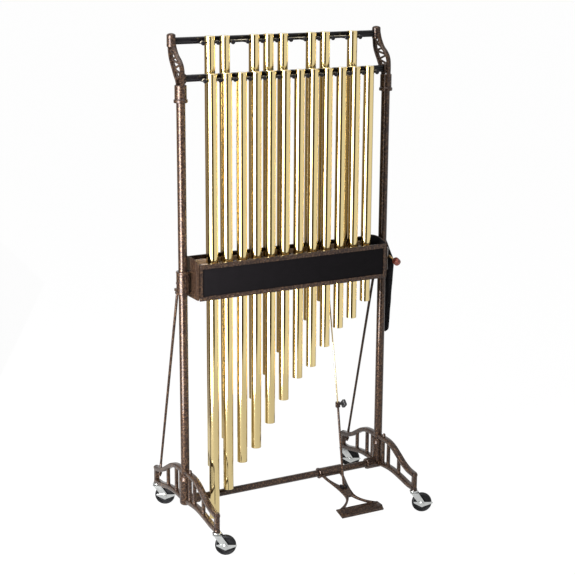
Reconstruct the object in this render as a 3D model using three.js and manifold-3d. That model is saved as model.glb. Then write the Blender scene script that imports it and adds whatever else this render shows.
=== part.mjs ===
// Tubular bells: twenty brass tubes hang in a wheeled stand, and a pedal lifts the felts in a box off them.
// Millimetres. X runs along the rails, the player stands at -Y, Z is up and the floor is at zero.

import * as THREE from "three";
import { mergeVertices } from "three/addons/utils/BufferGeometryUtils.js";
import Module from "manifold-3d";

const wasm = await Module();
wasm.setup();

const degree = Math.PI / 180;

// Clearances that every piece shares.
const seatGap = 0.3;
const cutOverrun = 2;

// How many flat faces go round a surface.
const columnSides = 12;
const tubeSides = 12;
const wheelSides = 12;
const rodSides = 8;
const boltSides = 6;
const pegSides = 6;
const holeSides = 5;
const stepsPerFlute = 2;
const stepsPerLobe = 5;
const armSteps = 10;
const legSteps = 6;
const pedalSteps = 5;
const arcSteps = 2;

// The two columns.
const upright = { spacing: 840, diameter: 32, wall: 2, foot: 122, topDrop: 29 };

// The brass tubes: a front row of naturals and a rear row of sharps, a semitone apart in length.
const tube = {
  diameter: 38.1,
  wall: 1.6,
  pitch: 58.2,
  floorGap: 39,
  capThickness: 4,
  capChamfer: 1.3,
  topAboveRail: 5,
  hangDrop: 22,
  holeDiameter: 7,
};
const semitoneShare = 0.968;
const naturals = [
  ["c5", 0],
  ["d5", 2],
  ["e5", 4],
  ["f5", 5],
  ["g5", 7],
  ["a5", 9],
  ["b5", 11],
  ["c6", 12],
  ["d6", 14],
  ["e6", 16],
  ["f6", 17],
  ["g6", 19],
];
// A sharp hangs behind the gap that follows the natural of the same letter.
const sharps = [
  ["c5_sharp", 1, 0],
  ["d5_sharp", 3, 1],
  ["f5_sharp", 6, 3],
  ["g5_sharp", 8, 4],
  ["a5_sharp", 10, 5],
  ["c6_sharp", 13, 7],
  ["d6_sharp", 15, 8],
  ["f6_sharp", 18, 10],
];

// The two rails, with a peg on each side of every tube that holds the cord.
const rail = {
  height: 24,
  depth: 16,
  chamfer: 2.5,
  grooveWidth: 9,
  grooveDepth: 1.6,
  frontHeight: 1671,
  rowRise: 123,
  rowOffset: 74,
  seatDepth: 8,
};
const peg = {
  drop: 7,
  shankDiameter: 9,
  headDiameter: 18,
  headLength: 8,
  headTaper: 2,
  tubeReach: 40,
  headReach: 47,
};
const cord = { diameter: 3 };

// The cast bracket on each column: a sleeve, an open S-shaped arm and a round post behind.
const casting = {
  ringDiameter: 50,
  ringDrop: 83,
  ringHeight: 12,
  sleeveDiameter: 43,
  sleeveTopDrop: 21,
  ribWidth: 17,
  ribThickness: 9,
  ribChamfer: 2.5,
  webDiameter: 7,
  postDiameter: 32,
  postDrop: 20,
  postRise: 28,
  domeHeight: 8,
  bossHeight: 34,
  bossDepth: 27,
  bossChamfer: 5,
  bossReach: 16,
};
const frontRibReachShares = [0, 0, 0.01, 0.1, 0.283, 0.56, 0.742, 0.875, 1];
const frontRibRiseShares = [0, 0.22, 0.43, 0.544, 0.625, 0.7, 0.783, 0.869, 1];
const rearRibReachShares = [0, 0.13, 0.336, 0.51, 0.7, 0.86, 0.95, 1, 1];
const rearRibRiseShares = [0, 0.12, 0.22, 0.33, 0.44, 0.55, 0.667, 0.845, 1];
// The webs zigzag from the rear rib to the front one and back.
const webShares = [0.12, 0.36, 0.36, 0.52, 0.56, 0.68, 0.74, 0.8];

// The cast leg under each column.
const leg = {
  reach: 265,
  socketDiameter: 43.5,
  socketBottom: 95,
  socketTop: 214.5,
  socketRounding: 11,
  ribWidth: 20,
  ribThickness: 14,
  ribChamfer: 4,
  shoulderHeight: 224,
  wristHeight: 149,
  soleHigh: 118,
  soleLow: 95,
  balusterDiameter: 9,
  postWidth: 20,
  postChamfer: 4,
  postBottom: 87,
  postTop: 156,
  postCrown: 3,
  stemBoreDepth: 36,
  lugReach: 45,
  lugDiameter: 12,
  lugHeight: 14,
};
const topRibReachShares = [0, 0.26, 0.42, 0.57, 0.71, 0.85, 1];
const topRibRiseShares = [1, 0.99, 0.85, 0.56, 0.27, 0.08, 0];
const soleReachShares = [0, 0.3, 0.49, 0.68, 0.85, 1];
const soleRiseShares = [0.75, 1, 0.88, 0.5, 0.1, 0];
const balusterReachShares = [0.15, 0.3, 0.585];

// The bar between the legs, in a plain boss at the left and a fluted one at the right.
const crossbar = { diameter: 27, wall: 2, height: 112.8, columnGap: 24 };
const crossbarBoss = {
  length: 56,
  plainDiameter: 37,
  flutedDiameter: 43,
  fluteDepth: 1.8,
  flutes: 12,
};

// The casters: a steel fork that trails to the right of the picture, a black wheel and a brake lever.
const caster = {
  swivelDeg: -28.77,
  trail: 30.7,
  wheelDiameter: 76.2,
  wheelWidth: 22,
  tyreShoulder: 4,
  rimDiameter: 58,
  rimRecess: 2.5,
  hubDiameter: 24,
  axleDiameter: 8,
  axleClearance: 0.3,
  headDiameter: 34,
  headHeight: 5.5,
  crownHeight: 4.5,
  crownWidth: 30,
  wheelClearance: 1.4,
  plate: 2.5,
  eyeDiameter: 22,
  cheekTurnDeg: 135,
  stemDiameter: 11,
  stemHeight: 32,
  nutDiameter: 14,
  nutLength: 4,
};
const brake = {
  plate: 2.5,
  shortReach: 32,
  longReach: 41,
  tipHeight: 7,
  tipThickness: 6,
  vertexDrop: 14,
  vertexWidth: 12,
  shoulder: 8,
};

// The damper box, open above and below, with the tubes running down through it.
const box = {
  columnGap: 27,
  halfDepth: 78.4,
  railDrop: 782.4,
  height: 132.6,
  frameDepth: 5,
  topStrip: 17.5,
  bottomStrip: 16,
  endStrip: 12,
  edgeChamfer: 1.5,
  panelRecess: 1.8,
  panelThickness: 1.4,
  panelTongue: 3,
  rearSheet: 1.6,
  rearLip: 5,
  endPlate: 3,
  archRise: 16,
  cornerRadius: 14,
};

// The clamp that ties each end plate to its column, and the brace behind it.
const clamp = {
  rise: 14.4,
  height: 84,
  collarDiameter: 40,
  rimDiameter: 46.5,
  rimHeight: 7,
  flangeWidth: 30,
  flangeThickness: 7,
  screwDiameter: 12,
  screwReach: 25.5,
  earReach: 48,
  earWidth: 18,
  earThickness: 10,
};
const brace = {
  diameter: 9,
  footReach: 226,
  footHeight: 169,
  threadLength: 46,
  nutDiameter: 17,
  nutLength: 8,
  lowerNutDrop: 28,
  topRise: 14,
};

// The felted frame in the box, the shaft that pushes it and the rod down to the pedal.
const damper = {
  feltThickness: 6,
  barThickness: 5,
  barRise: 66.4,
  barHeight: 30,
  linkInset: 38,
  linkThickness: 4,
  linkRise: 31.4,
  linkFrontMargin: 3,
  travel: 5.1,
};
const guide = { diameter: 8, reachFromCentre: 44, rise: 55.4, tipInside: 3 };
const shaft = {
  diameter: 8,
  setback: 67,
  rise: 16.4,
  leverHeight: 26.5,
  leverThickness: 4,
  leverWidth: 8.6,
  footRadius: 4.3,
  leverGap: 2,
  pinDiameter: 5,
  pinLength: 12,
  bearingDiameter: 12,
  bearingLength: 11,
  bearingFloor: 2,
};
const crank = { afterNatural: 8, tipReach: -8, tipDrop: 5, armThickness: 4, armWidth: 10, eyeGap: 0.5 };
const rod = {
  upperDiameter: 5,
  lowerDiameter: 9,
  eyeDiameter: 12,
  eyeThickness: 5,
  clampX: 199,
  clampReach: -56,
  clampHeight: 404,
  clampWidth: 24,
  clampDepth: 17,
  clampRise: 30,
  clampChamfer: 3,
  socketDepth: 22,
  forkEyeDiameter: 15,
  forkEyeThickness: 9.4,
  pinLength: 24,
};
const knob = {
  diameter: 30,
  lobeDepth: 3.5,
  lobes: 4,
  thickness: 12,
  stemDiameter: 9,
  stemLength: 8,
  screwDiameter: 5,
  screwDepth: 7,
};

// The pedal: a sleeve that turns on the bar, an hourglass of two curved arms and a foot plate.
const pedal = {
  centre: 198.5,
  tiltDeg: 17,
  sleeveHalfLength: 51.5,
  sleeveDiameter: 38,
  sleeveBore: 27.8,
  ringDiameter: 42,
  ringLength: 6,
  armThickness: 9,
  armWidth: 14,
  shoulderHalfWidth: 47,
  waistHalfWidth: 20.5,
  spreadHalfWidth: 84,
  waistDistance: 157,
  webStart: 96,
  webEnd: 167,
  plateHalfLength: 95,
  plateTip: 8,
  plateStart: 224,
  plateEnd: 274,
  plateThickness: 6,
  plateRim: 3,
  plateRimHeight: 2,
  clevisReach: 110,
  clevisWidth: 25,
  clevisGap: 10.6,
  clevisDepth: 18,
  clevisRise: 16,
  clevisPinRise: 7,
  clevisSlack: 1.6,
};

// The mallet in its cloth pouch at the right-hand end.
const mallet = {
  columnGap: 37,
  headReach: -46,
  headDrop: 76,
  tiltDeg: 12,
  rollDeg: 48,
  headDiameter: 28,
  headLength: 24,
  headRounding: 4,
  handleDiameter: 10,
  handleLength: 170,
};
const pouch = {
  columnGap: 26,
  width: 24,
  topDrop: 8,
  length: 373,
  mouthFront: 56,
  mouthDrop: 79,
  frontTop: 1,
  rearTop: 72,
  frontBottom: 45,
  rearBottom: 64,
  edgeRounding: 6,
  tongueFront: 24.5,
  tongueRear: 31,
  tongueDrop: 47,
  tongueHeight: 28,
};

// Values that several pieces are fitted to.
const frontRow = -peg.tubeReach;
const rearRow = rail.rowOffset - peg.tubeReach;
const tubeRadius = tube.diameter / 2;
const rearRailHeight = rail.frontHeight + rail.rowRise;
const uprightTop = rail.frontHeight - upright.topDrop;
const ringBottom = rail.frontHeight - casting.ringDrop;
const sleeveBottom = ringBottom + casting.ringHeight;
const sleeveTop = rail.frontHeight - casting.sleeveTopDrop;
const postBottom = rearRailHeight - casting.postDrop;
const postTop = rearRailHeight + casting.postRise;
const frontTubeTop = rail.frontHeight + rail.height / 2 + tube.topAboveRail;
const rearTubeTop = rearRailHeight + rail.height / 2 + tube.topAboveRail;
const cordRise = (tube.holeDiameter - cord.diameter) / 2 - seatGap;
const longestTube = frontTubeTop - tube.floorGap;
const columnX = upright.spacing / 2;
const crossbarEnd = columnX - crossbar.columnGap;
const boxHalfLength = columnX - box.columnGap;
const boxBottom = rail.frontHeight - box.railDrop;
const boxTop = boxBottom + box.height;
const linkInner = boxHalfLength - damper.linkInset;
const pouchInner = columnX + pouch.columnGap;
const pouchOuter = pouchInner + pouch.width;
const malletX = columnX + mallet.columnGap;
const clampBottom = boxBottom + clamp.rise;
const clampTop = clampBottom + clamp.height;
const barBottom = boxBottom + damper.barRise;
const barTop = barBottom + damper.barHeight;
const linkBottom = boxBottom + damper.linkRise;
const guideHeight = boxBottom + guide.rise;
const shaftHeight = boxBottom + shaft.rise;
const pouchTop = boxTop - pouch.topDrop;
const pouchBottom = pouchTop - pouch.length;
const tongueTop = pouchTop - pouch.tongueDrop;
const tongueBottom = tongueTop - pouch.tongueHeight;
const malletHeight = pouchTop - mallet.headDrop;
const boxInner = boxHalfLength - box.endPlate;
const headTop = leg.postBottom - seatGap;
const axleHeight = caster.wheelDiameter / 2;
const forkHalf = caster.wheelWidth / 2 + caster.wheelClearance;
const pedalTilt = pedal.tiltDeg * degree;

const X = new THREE.Vector3(1, 0, 0);
const Y = new THREE.Vector3(0, 1, 0);
const Z = new THREE.Vector3(0, 0, 1);

function at(x, y, z) {
  return new THREE.Vector3(x, y, z);
}

// Turns a closed geometry into a solid for cutting and joining.
function toSolid(geometry) {
  const bare = geometry.index ? geometry.toNonIndexed() : geometry.clone();
  bare.deleteAttribute("normal");
  bare.deleteAttribute("uv");
  const merged = mergeVertices(bare);
  const corners = merged.index.array;
  const triangles = [];
  for (let i = 0; i < corners.length; i += 3) {
    const [a, b, c] = corners.slice(i, i + 3);
    if (a !== b && b !== c && c !== a) triangles.push(a, b, c);
  }
  const vertProperties = new Float32Array(merged.attributes.position.array);
  const triVerts = new Uint32Array(triangles);
  return new wasm.Manifold(new wasm.Mesh({ numProp: 3, vertProperties, triVerts }));
}

function toGeometry(solid) {
  const mesh = solid.getMesh();
  const geometry = new THREE.BufferGeometry();
  geometry.setAttribute("position", new THREE.BufferAttribute(mesh.vertProperties, 3));
  geometry.setIndex(new THREE.BufferAttribute(mesh.triVerts, 1));
  geometry.computeVertexNormals();
  return geometry;
}

function join(solids) {
  return solids.reduce((joined, next) => joined.add(next));
}

function cut(solid, cutters) {
  return cutters.reduce((left, cutter) => left.subtract(cutter), solid);
}

// A round bar from one point to another.
function bar(start, end, diameter, sides) {
  const along = end.clone().sub(start);
  const geometry = new THREE.CylinderGeometry(diameter / 2, diameter / 2, along.length(), sides);
  geometry.applyQuaternion(new THREE.Quaternion().setFromUnitVectors(Y, along.clone().normalize()));
  const middle = start.clone().add(end).divideScalar(2);
  geometry.translate(middle.x, middle.y, middle.z);
  return toSolid(geometry);
}

// A bore's flats lie on its circle, so that a round bar of the same diameter clears them at any turn.
function bore(start, end, diameter, sides) {
  return bar(start, end, diameter / Math.cos(Math.PI / sides), sides);
}

function block(low, high) {
  const size = high.clone().sub(low);
  const middle = low.clone().add(high).divideScalar(2);
  const geometry = new THREE.BoxGeometry(size.x, size.y, size.z);
  geometry.translate(middle.x, middle.y, middle.z);
  return toSolid(geometry);
}

// Revolves [radius, height] points about Z.
function turned(profile, sides) {
  const points = profile.map(([radius, height]) => new THREE.Vector2(radius, height));
  return new THREE.LatheGeometry(points, sides).rotateX(Math.PI / 2);
}

// Extrudes an outline along an axis: along X it is drawn in (Y, Z), along Y in (X, Z), along Z in (X, Y).
function slab(outline, axis, low, high, curveSegments) {
  const options = { depth: high - low, bevelEnabled: false, curveSegments };
  const geometry = new THREE.ExtrudeGeometry(outline, options);
  const basis = new THREE.Matrix4();
  if (axis === "x") basis.makeBasis(Y, Z, X).setPosition(low, 0, 0);
  if (axis === "y") basis.makeBasis(X, Z, Y.clone().negate()).setPosition(0, high, 0);
  if (axis === "z") basis.setPosition(0, 0, low);
  return toSolid(geometry.applyMatrix4(basis));
}

function outlineOf(points) {
  return new THREE.Shape(points.map(([u, v]) => new THREE.Vector2(u, v)));
}

// A rectangle with its corners cut off, about the origin or about a given middle.
function chamfered(width, height, chamfer, middleU = 0, middleV = 0) {
  const [u, v] = [width / 2, height / 2];
  const corners = [
    [u - chamfer, -v],
    [u, chamfer - v],
    [u, v - chamfer],
    [u - chamfer, v],
    [chamfer - u, v],
    [-u, v - chamfer],
    [-u, chamfer - v],
    [chamfer - u, -v],
  ];
  return outlineOf(corners.map(([a, b]) => [a + middleU, b + middleV]));
}

// A round outline with shallow hollows round its edge.
function fluted(diameter, depth, count, stepsPerFlute) {
  const steps = count * stepsPerFlute;
  const points = [];
  for (let i = 0; i < steps; i++) {
    const angle = (i / steps) * 2 * Math.PI;
    const radius = diameter / 2 - (depth * (1 - Math.cos(angle * count))) / 2;
    points.push([radius * Math.cos(angle), radius * Math.sin(angle)]);
  }
  return outlineOf(points);
}

// Sweeps a section along a curve that lies in a plane of constant X.
function rib(curve, width, thickness, chamfer, steps) {
  const section = chamfered(width, thickness, chamfer);
  return toSolid(new THREE.ExtrudeGeometry(section, { steps, extrudePath: curve, bevelEnabled: false }));
}

function mesh(name, geometry, finish) {
  const made = new THREE.Mesh(geometry, new THREE.MeshStandardMaterial(finish));
  made.name = name;
  return made;
}

const brownPaint = { color: 0x5c4834, roughness: 0.42, metalness: 0.25 };
const blackPaint = { color: 0x14121a, roughness: 0.35, metalness: 0.2 };
const panelBlack = { color: 0x1c191c, roughness: 0.7, metalness: 0 };
const brass = { color: 0xd6c996, roughness: 0.2, metalness: 1 };
const zinc = { color: 0xdce1dc, roughness: 0.3, metalness: 1 };
const blackRubber = { color: 0x0f0f12, roughness: 0.55, metalness: 0 };
const blackCloth = { color: 0x100f12, roughness: 0.9, metalness: 0 };
const felt = { color: 0x5a5450, roughness: 1, metalness: 0 };
const cordGrey = { color: 0x8a8478, roughness: 0.9, metalness: 0 };
const rawhide = { color: 0x7a3a28, roughness: 0.6, metalness: 0 };

// The X of natural number i, counted from the left.
function naturalX(i) {
  return (i - (naturals.length - 1) / 2) * tube.pitch;
}

function tubeGeometry(length) {
  const boreRadius = tubeRadius - tube.wall;
  const profile = [
    [0, -tube.capThickness],
    [boreRadius, -tube.capThickness],
    [boreRadius, -length],
    [tubeRadius, -length],
    [tubeRadius, -tube.capChamfer],
    [tubeRadius - tube.capChamfer, 0],
    [0, 0],
  ];
  const holeStart = at(-tube.diameter, 0, -tube.hangDrop);
  const holeEnd = at(tube.diameter, 0, -tube.hangDrop);
  const hole = bore(holeStart, holeEnd, tube.holeDiameter, holeSides);
  return toGeometry(cut(toSolid(turned(profile, tubeSides)), [hole]));
}

// Each tube's own origin is on the cord that it hangs from.
function makeTube(name, semitones, x, y, top) {
  const length = longestTube * semitoneShare ** semitones;
  const drop = tube.hangDrop - cordRise;
  const made = mesh(name, tubeGeometry(length).translate(0, 0, drop), brass);
  made.position.set(x, y, top - drop);
  return made;
}

function railOutline() {
  const [u, v] = [rail.depth / 2, rail.height / 2];
  const groove = rail.grooveWidth / 2;
  return outlineOf([
    [u, -v],
    [u, v],
    [rail.chamfer - u, v],
    [-u, v - rail.chamfer],
    [-u, groove],
    [rail.grooveDepth - u, groove - rail.grooveDepth],
    [rail.grooveDepth - u, rail.grooveDepth - groove],
    [-u, -groove],
    [-u, rail.chamfer - v],
    [rail.chamfer - u, -v],
  ]);
}

function pegSolid(x) {
  const head = peg.headDiameter / 2;
  const shank = peg.shankDiameter / 2;
  const profile = [
    [0, 0],
    [shank, 0],
    [shank, peg.headReach],
    [head, peg.headReach],
    [head - peg.headTaper, peg.headReach + peg.headLength],
    [0, peg.headReach + peg.headLength],
  ];
  return toSolid(turned(profile, pegSides).rotateX(Math.PI / 2).translate(x, 0, -peg.drop));
}

function makeRail(name, y, z, pegPlaces) {
  const half = columnX - casting.bossReach + rail.seatDepth - seatGap;
  const body = slab(railOutline(), "x", -half, half);
  const made = mesh(name, toGeometry(join([body, ...pegPlaces.map(pegSolid)])), blackPaint);
  made.position.set(0, y, z);
  return made;
}

// A route that a sweep follows from knot to knot.
class KnottedRoute extends THREE.Curve {
  constructor(knots) {
    super();
    this.knots = knots;
  }

  getPoint(share, target = new THREE.Vector3()) {
    const place = Math.min(Math.max(share, 0), 1) * (this.knots.length - 1);
    const first = Math.min(Math.floor(place), this.knots.length - 2);
    return target.lerpVectors(this.knots[first], this.knots[first + 1], place - first);
  }

  getPointAt(share, target) {
    return this.getPoint(share, target);
  }
}

// The cord lies over every peg and runs straight through the holes of every tube.
function makeCord(name, y, z, pegPlaces, tubePlaces) {
  const lift = (peg.shankDiameter + cord.diameter) / 2 + seatGap;
  const pegAxis = rail.height / 2 + tube.topAboveRail - tube.hangDrop + cordRise + peg.drop;
  const side = lift * Math.SQRT1_2;
  const stops = [];
  for (const x of pegPlaces) stops.push({ x, isPeg: true });
  for (const x of tubePlaces) stops.push({ x, isPeg: false });
  stops.sort((a, b) => a.x - b.x);
  const first = pegPlaces[0];
  const last = pegPlaces[pegPlaces.length - 1];
  const knots = [at(first - lift, 0, -pegAxis), at(first - side, 0, side - pegAxis)];
  for (const stop of stops) {
    if (stop.isPeg) knots.push(at(stop.x, 0, lift - pegAxis));
    else knots.push(at(stop.x - tubeRadius, 0, 0), at(stop.x + tubeRadius, 0, 0));
  }
  knots.push(at(last + side, 0, side - pegAxis), at(last + lift, 0, -pegAxis));
  const circle = new THREE.Shape().absarc(0, 0, cord.diameter / 2, 0, 2 * Math.PI);
  const extrudePath = new KnottedRoute(knots);
  const options = { steps: knots.length - 1, extrudePath, curveSegments: rodSides / 2 };
  const made = mesh(name, toGeometry(toSolid(new THREE.ExtrudeGeometry(circle, options))), cordGrey);
  made.position.set(0, y, z);
  return made;
}

function makeUpright(name, side) {
  const outer = upright.diameter / 2;
  const inner = outer - upright.wall;
  const profile = [
    [inner, upright.foot],
    [outer, upright.foot],
    [outer, uprightTop],
    [inner, uprightTop],
    [inner, upright.foot],
  ];
  const made = mesh(name, turned(profile, columnSides), brownPaint);
  made.position.x = side * columnX;
  return made;
}

// The bracket's front rib climbs from the sleeve's front to the post's front, and the rear rib
// from back to back.
function armCurve(direction, reachShares, riseShares) {
  const thickness = casting.ribThickness / 2;
  const start = direction * (casting.sleeveDiameter / 2 - thickness);
  const end = rail.rowOffset + direction * (casting.postDiameter / 2 - thickness);
  const foot = direction > 0 ? sleeveTop - thickness : sleeveBottom;
  const top = postTop - casting.domeHeight - thickness;
  const points = reachShares.map((reach, i) =>
    at(0, start + reach * (end - start), foot + riseShares[i] * (top - foot)),
  );
  return new THREE.CatmullRomCurve3(points);
}

function railPocket(side, y, z) {
  const floor = casting.bossReach - rail.seatDepth;
  const pocket = chamfered(rail.depth + 2 * seatGap, rail.height + 2 * seatGap, seatGap, y, z);
  const ends = [-side * (casting.bossReach + cutOverrun), -side * floor].sort((a, b) => a - b);
  return slab(pocket, "x", ends[0], ends[1]);
}

function railBoss(side) {
  const ends = [-side * casting.bossReach, 0].sort((a, b) => a - b);
  const outline = chamfered(casting.bossDepth, casting.bossHeight, casting.bossChamfer, 0, rail.frontHeight);
  return slab(outline, "x", ends[0], ends[1]);
}

function makeTopCasting(name, side) {
  const boreRadius = upright.diameter / 2 + seatGap;
  const ring = casting.ringDiameter / 2;
  const sleeve = casting.sleeveDiameter / 2;
  const post = casting.postDiameter / 2;
  const sleeveProfile = [
    [0, ringBottom],
    [ring, ringBottom],
    [ring, sleeveBottom],
    [sleeve, sleeveBottom],
    [sleeve, sleeveTop],
    [0, sleeveTop],
  ];
  const boreProfile = [
    [0, ringBottom - cutOverrun],
    [boreRadius, ringBottom - cutOverrun],
    [boreRadius, uprightTop + seatGap],
    [0, uprightTop + seatGap],
  ];
  const postProfile = [
    [0, postBottom],
    [post, postBottom],
    [post, postTop - casting.domeHeight],
    [post * Math.cos(Math.PI / 4), postTop - casting.domeHeight * (1 - Math.sin(Math.PI / 4))],
    [0, postTop],
  ];
  const front = armCurve(-1, frontRibReachShares, frontRibRiseShares);
  const rear = armCurve(1, rearRibReachShares, rearRibRiseShares);
  const ribs = [front, rear].map((curve) =>
    rib(curve, casting.ribWidth, casting.ribThickness, casting.ribChamfer, armSteps),
  );
  const webs = [];
  for (let i = 0; i + 1 < webShares.length; i++) {
    const [from, to] = i % 2 ? [front, rear] : [rear, front];
    const start = from.getPointAt(webShares[i]);
    webs.push(bar(start, to.getPointAt(webShares[i + 1]), casting.webDiameter, boltSides));
  }
  const solid = join([
    toSolid(turned(sleeveProfile, columnSides)),
    toSolid(turned(postProfile, columnSides).translate(0, rail.rowOffset, 0)),
    ...ribs,
    ...webs,
    railBoss(side),
  ]);
  const pockets = [railPocket(side, 0, rail.frontHeight), railPocket(side, rail.rowOffset, rearRailHeight)];
  const columnBore = toSolid(turned(boreProfile, columnSides));
  const made = mesh(name, toGeometry(cut(solid, [...pockets, columnBore])), brownPaint);
  made.position.x = side * columnX;
  return made;
}

// One of the leg's long ribs, from the socket out to the caster post at the given end.
function legCurve(end, reachShares, riseShares, low, high) {
  const points = reachShares.map((reach, i) =>
    at(0, end * reach * leg.reach, low + riseShares[i] * (high - low)),
  );
  return new THREE.CatmullRomCurve3(points);
}

// The curve's height where it is a given distance out, found by halving the stretch that holds it.
function heightAlong(curve, reach) {
  const halvings = 24;
  let [low, high] = [0, 1];
  for (let i = 0; i < halvings; i++) {
    const middle = (low + high) / 2;
    if (Math.abs(curve.getPoint(middle).y) < reach) low = middle;
    else high = middle;
  }
  return curve.getPoint(low).z;
}

// Where the brace runs, from its foot in the leg to its seat on the clamp.
function braceLine() {
  const foot = at(0, brace.footReach, brace.footHeight);
  const top = at(0, clamp.earReach, clampBottom);
  return { foot, top, along: top.clone().sub(foot).normalize() };
}

function makeLeg(name, side) {
  const parts = [];
  const socket = leg.socketDiameter / 2;
  const boreRadius = upright.diameter / 2 + seatGap;
  const rounding = leg.socketRounding;
  const socketProfile = [[0, leg.socketBottom]];
  for (const turn of [0, 0.5, 1]) {
    const angle = (turn * Math.PI) / 2;
    const radius = socket - rounding * (1 - Math.sin(angle));
    socketProfile.push([radius, leg.socketBottom + rounding * (1 - Math.cos(angle))]);
  }
  socketProfile.push([socket, leg.socketTop], [boreRadius, leg.socketTop]);
  socketProfile.push([boreRadius, upright.foot - seatGap], [0, upright.foot - seatGap]);
  parts.push(toSolid(turned(socketProfile, columnSides)));
  const stemBores = [];
  for (const end of [-1, 1]) {
    const top = legCurve(end, topRibReachShares, topRibRiseShares, leg.wristHeight, leg.shoulderHeight);
    const sole = legCurve(end, soleReachShares, soleRiseShares, leg.soleLow, leg.soleHigh);
    parts.push(rib(top, leg.ribWidth, leg.ribThickness, leg.ribChamfer, legSteps));
    parts.push(rib(sole, leg.ribWidth, leg.ribThickness, leg.ribChamfer, legSteps));
    for (const share of balusterReachShares) {
      const y = end * share * leg.reach;
      const low = heightAlong(sole, Math.abs(y));
      const high = heightAlong(top, Math.abs(y));
      parts.push(bar(at(0, y, low), at(0, y, high), leg.balusterDiameter, boltSides));
    }
    const post = end * leg.reach;
    const shaftOutline = chamfered(leg.postWidth, leg.postWidth, leg.postChamfer, 0, post);
    const crownOutline = chamfered(
      leg.postWidth - 2 * leg.postCrown,
      leg.postWidth - 2 * leg.postCrown,
      leg.postChamfer,
      0,
      post,
    );
    parts.push(slab(shaftOutline, "z", leg.postBottom, leg.postTop));
    parts.push(slab(crownOutline, "z", leg.postTop - leg.postCrown, leg.postTop + leg.postCrown));
    const stemBore = caster.stemDiameter + 2 * seatGap;
    const boreStart = at(0, post, leg.postBottom - cutOverrun);
    stemBores.push(bore(boreStart, at(0, post, leg.postBottom + leg.stemBoreDepth), stemBore, rodSides));
  }
  const lugBase = leg.shoulderHeight;
  parts.push(
    bar(
      at(0, -leg.lugReach, lugBase),
      at(0, -leg.lugReach, lugBase + leg.ribThickness / 2 + leg.lugHeight),
      leg.lugDiameter,
      rodSides,
    ),
  );
  const bossEnds = [0, -side * crossbarBoss.length].sort((a, b) => a - b);
  const bossOutline =
    side > 0
      ? fluted(crossbarBoss.flutedDiameter, crossbarBoss.fluteDepth, crossbarBoss.flutes, stepsPerFlute)
      : fluted(crossbarBoss.plainDiameter, 0, 1, columnSides);
  const boss = new THREE.ExtrudeGeometry(bossOutline, { depth: crossbarBoss.length, bevelEnabled: false });
  boss.applyMatrix4(new THREE.Matrix4().makeBasis(Y, Z, X).setPosition(bossEnds[0], 0, crossbar.height));
  parts.push(toSolid(boss));
  const barEnd = crossbar.columnGap - seatGap;
  const barBore = bore(
    at(-side * barEnd, 0, crossbar.height),
    at(-side * (crossbarBoss.length + cutOverrun), 0, crossbar.height),
    crossbar.diameter + 2 * seatGap,
    columnSides,
  );
  const uprightBore = bar(
    at(0, 0, upright.foot - seatGap),
    at(0, 0, leg.shoulderHeight + leg.ribThickness),
    2 * boreRadius,
    columnSides,
  );
  const line = braceLine();
  const braceBore = bore(
    line.foot.clone().addScaledVector(line.along, -brace.threadLength),
    line.foot.clone().addScaledVector(line.along, brace.threadLength),
    brace.diameter + 2 * seatGap,
    rodSides,
  );
  const solid = cut(join(parts), [...stemBores, barBore, uprightBore, braceBore]);
  const made = mesh(name, toGeometry(solid), brownPaint);
  made.position.x = side * columnX;
  return made;
}

function makeCrossbar() {
  const outer = crossbar.diameter / 2;
  const inner = outer - crossbar.wall;
  const profile = [
    [inner, -crossbarEnd],
    [outer, -crossbarEnd],
    [outer, crossbarEnd],
    [inner, crossbarEnd],
    [inner, -crossbarEnd],
  ];
  const made = mesh("crossbar", turned(profile, columnSides), brownPaint);
  made.rotation.y = Math.PI / 2;
  made.position.z = crossbar.height;
  return made;
}

// A caster is drawn about its swivel axis at floor level, with its wheel towards +X.
function makeYoke(name) {
  const half = forkHalf + caster.plate;
  const crownTop = headTop - caster.headHeight;
  const crownHalf = caster.crownWidth / 2;
  const eye = caster.eyeDiameter / 2;
  const cheek = new THREE.Shape();
  cheek.moveTo(-crownHalf, crownTop);
  cheek.lineTo(crownHalf, crownTop);
  cheek.lineTo(caster.trail + eye, axleHeight);
  cheek.absarc(caster.trail, axleHeight, eye, 0, -caster.cheekTurnDeg * degree, true);
  cheek.closePath();
  const nutOffset = half + brake.plate + 2 * seatGap;
  const parts = [
    slab(cheek, "y", -half, -forkHalf, arcSteps),
    slab(cheek, "y", forkHalf, half, arcSteps),
    block(at(-crownHalf, -half, crownTop - caster.crownHeight), at(crownHalf, half, crownTop)),
    bar(at(0, 0, crownTop - seatGap), at(0, 0, headTop), caster.headDiameter, columnSides),
    bar(at(0, 0, crownTop), at(0, 0, headTop + caster.stemHeight), caster.stemDiameter, rodSides),
    bar(
      at(caster.trail, -nutOffset, axleHeight),
      at(caster.trail, half, axleHeight),
      caster.axleDiameter,
      rodSides,
    ),
    bar(
      at(caster.trail, -nutOffset - caster.nutLength, axleHeight),
      at(caster.trail, -nutOffset, axleHeight),
      caster.nutDiameter,
      boltSides,
    ),
    bar(
      at(caster.trail, half, axleHeight),
      at(caster.trail, half + caster.nutLength, axleHeight),
      caster.nutDiameter,
      boltSides,
    ),
  ];
  return mesh(name, toGeometry(join(parts)), zinc);
}

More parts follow.
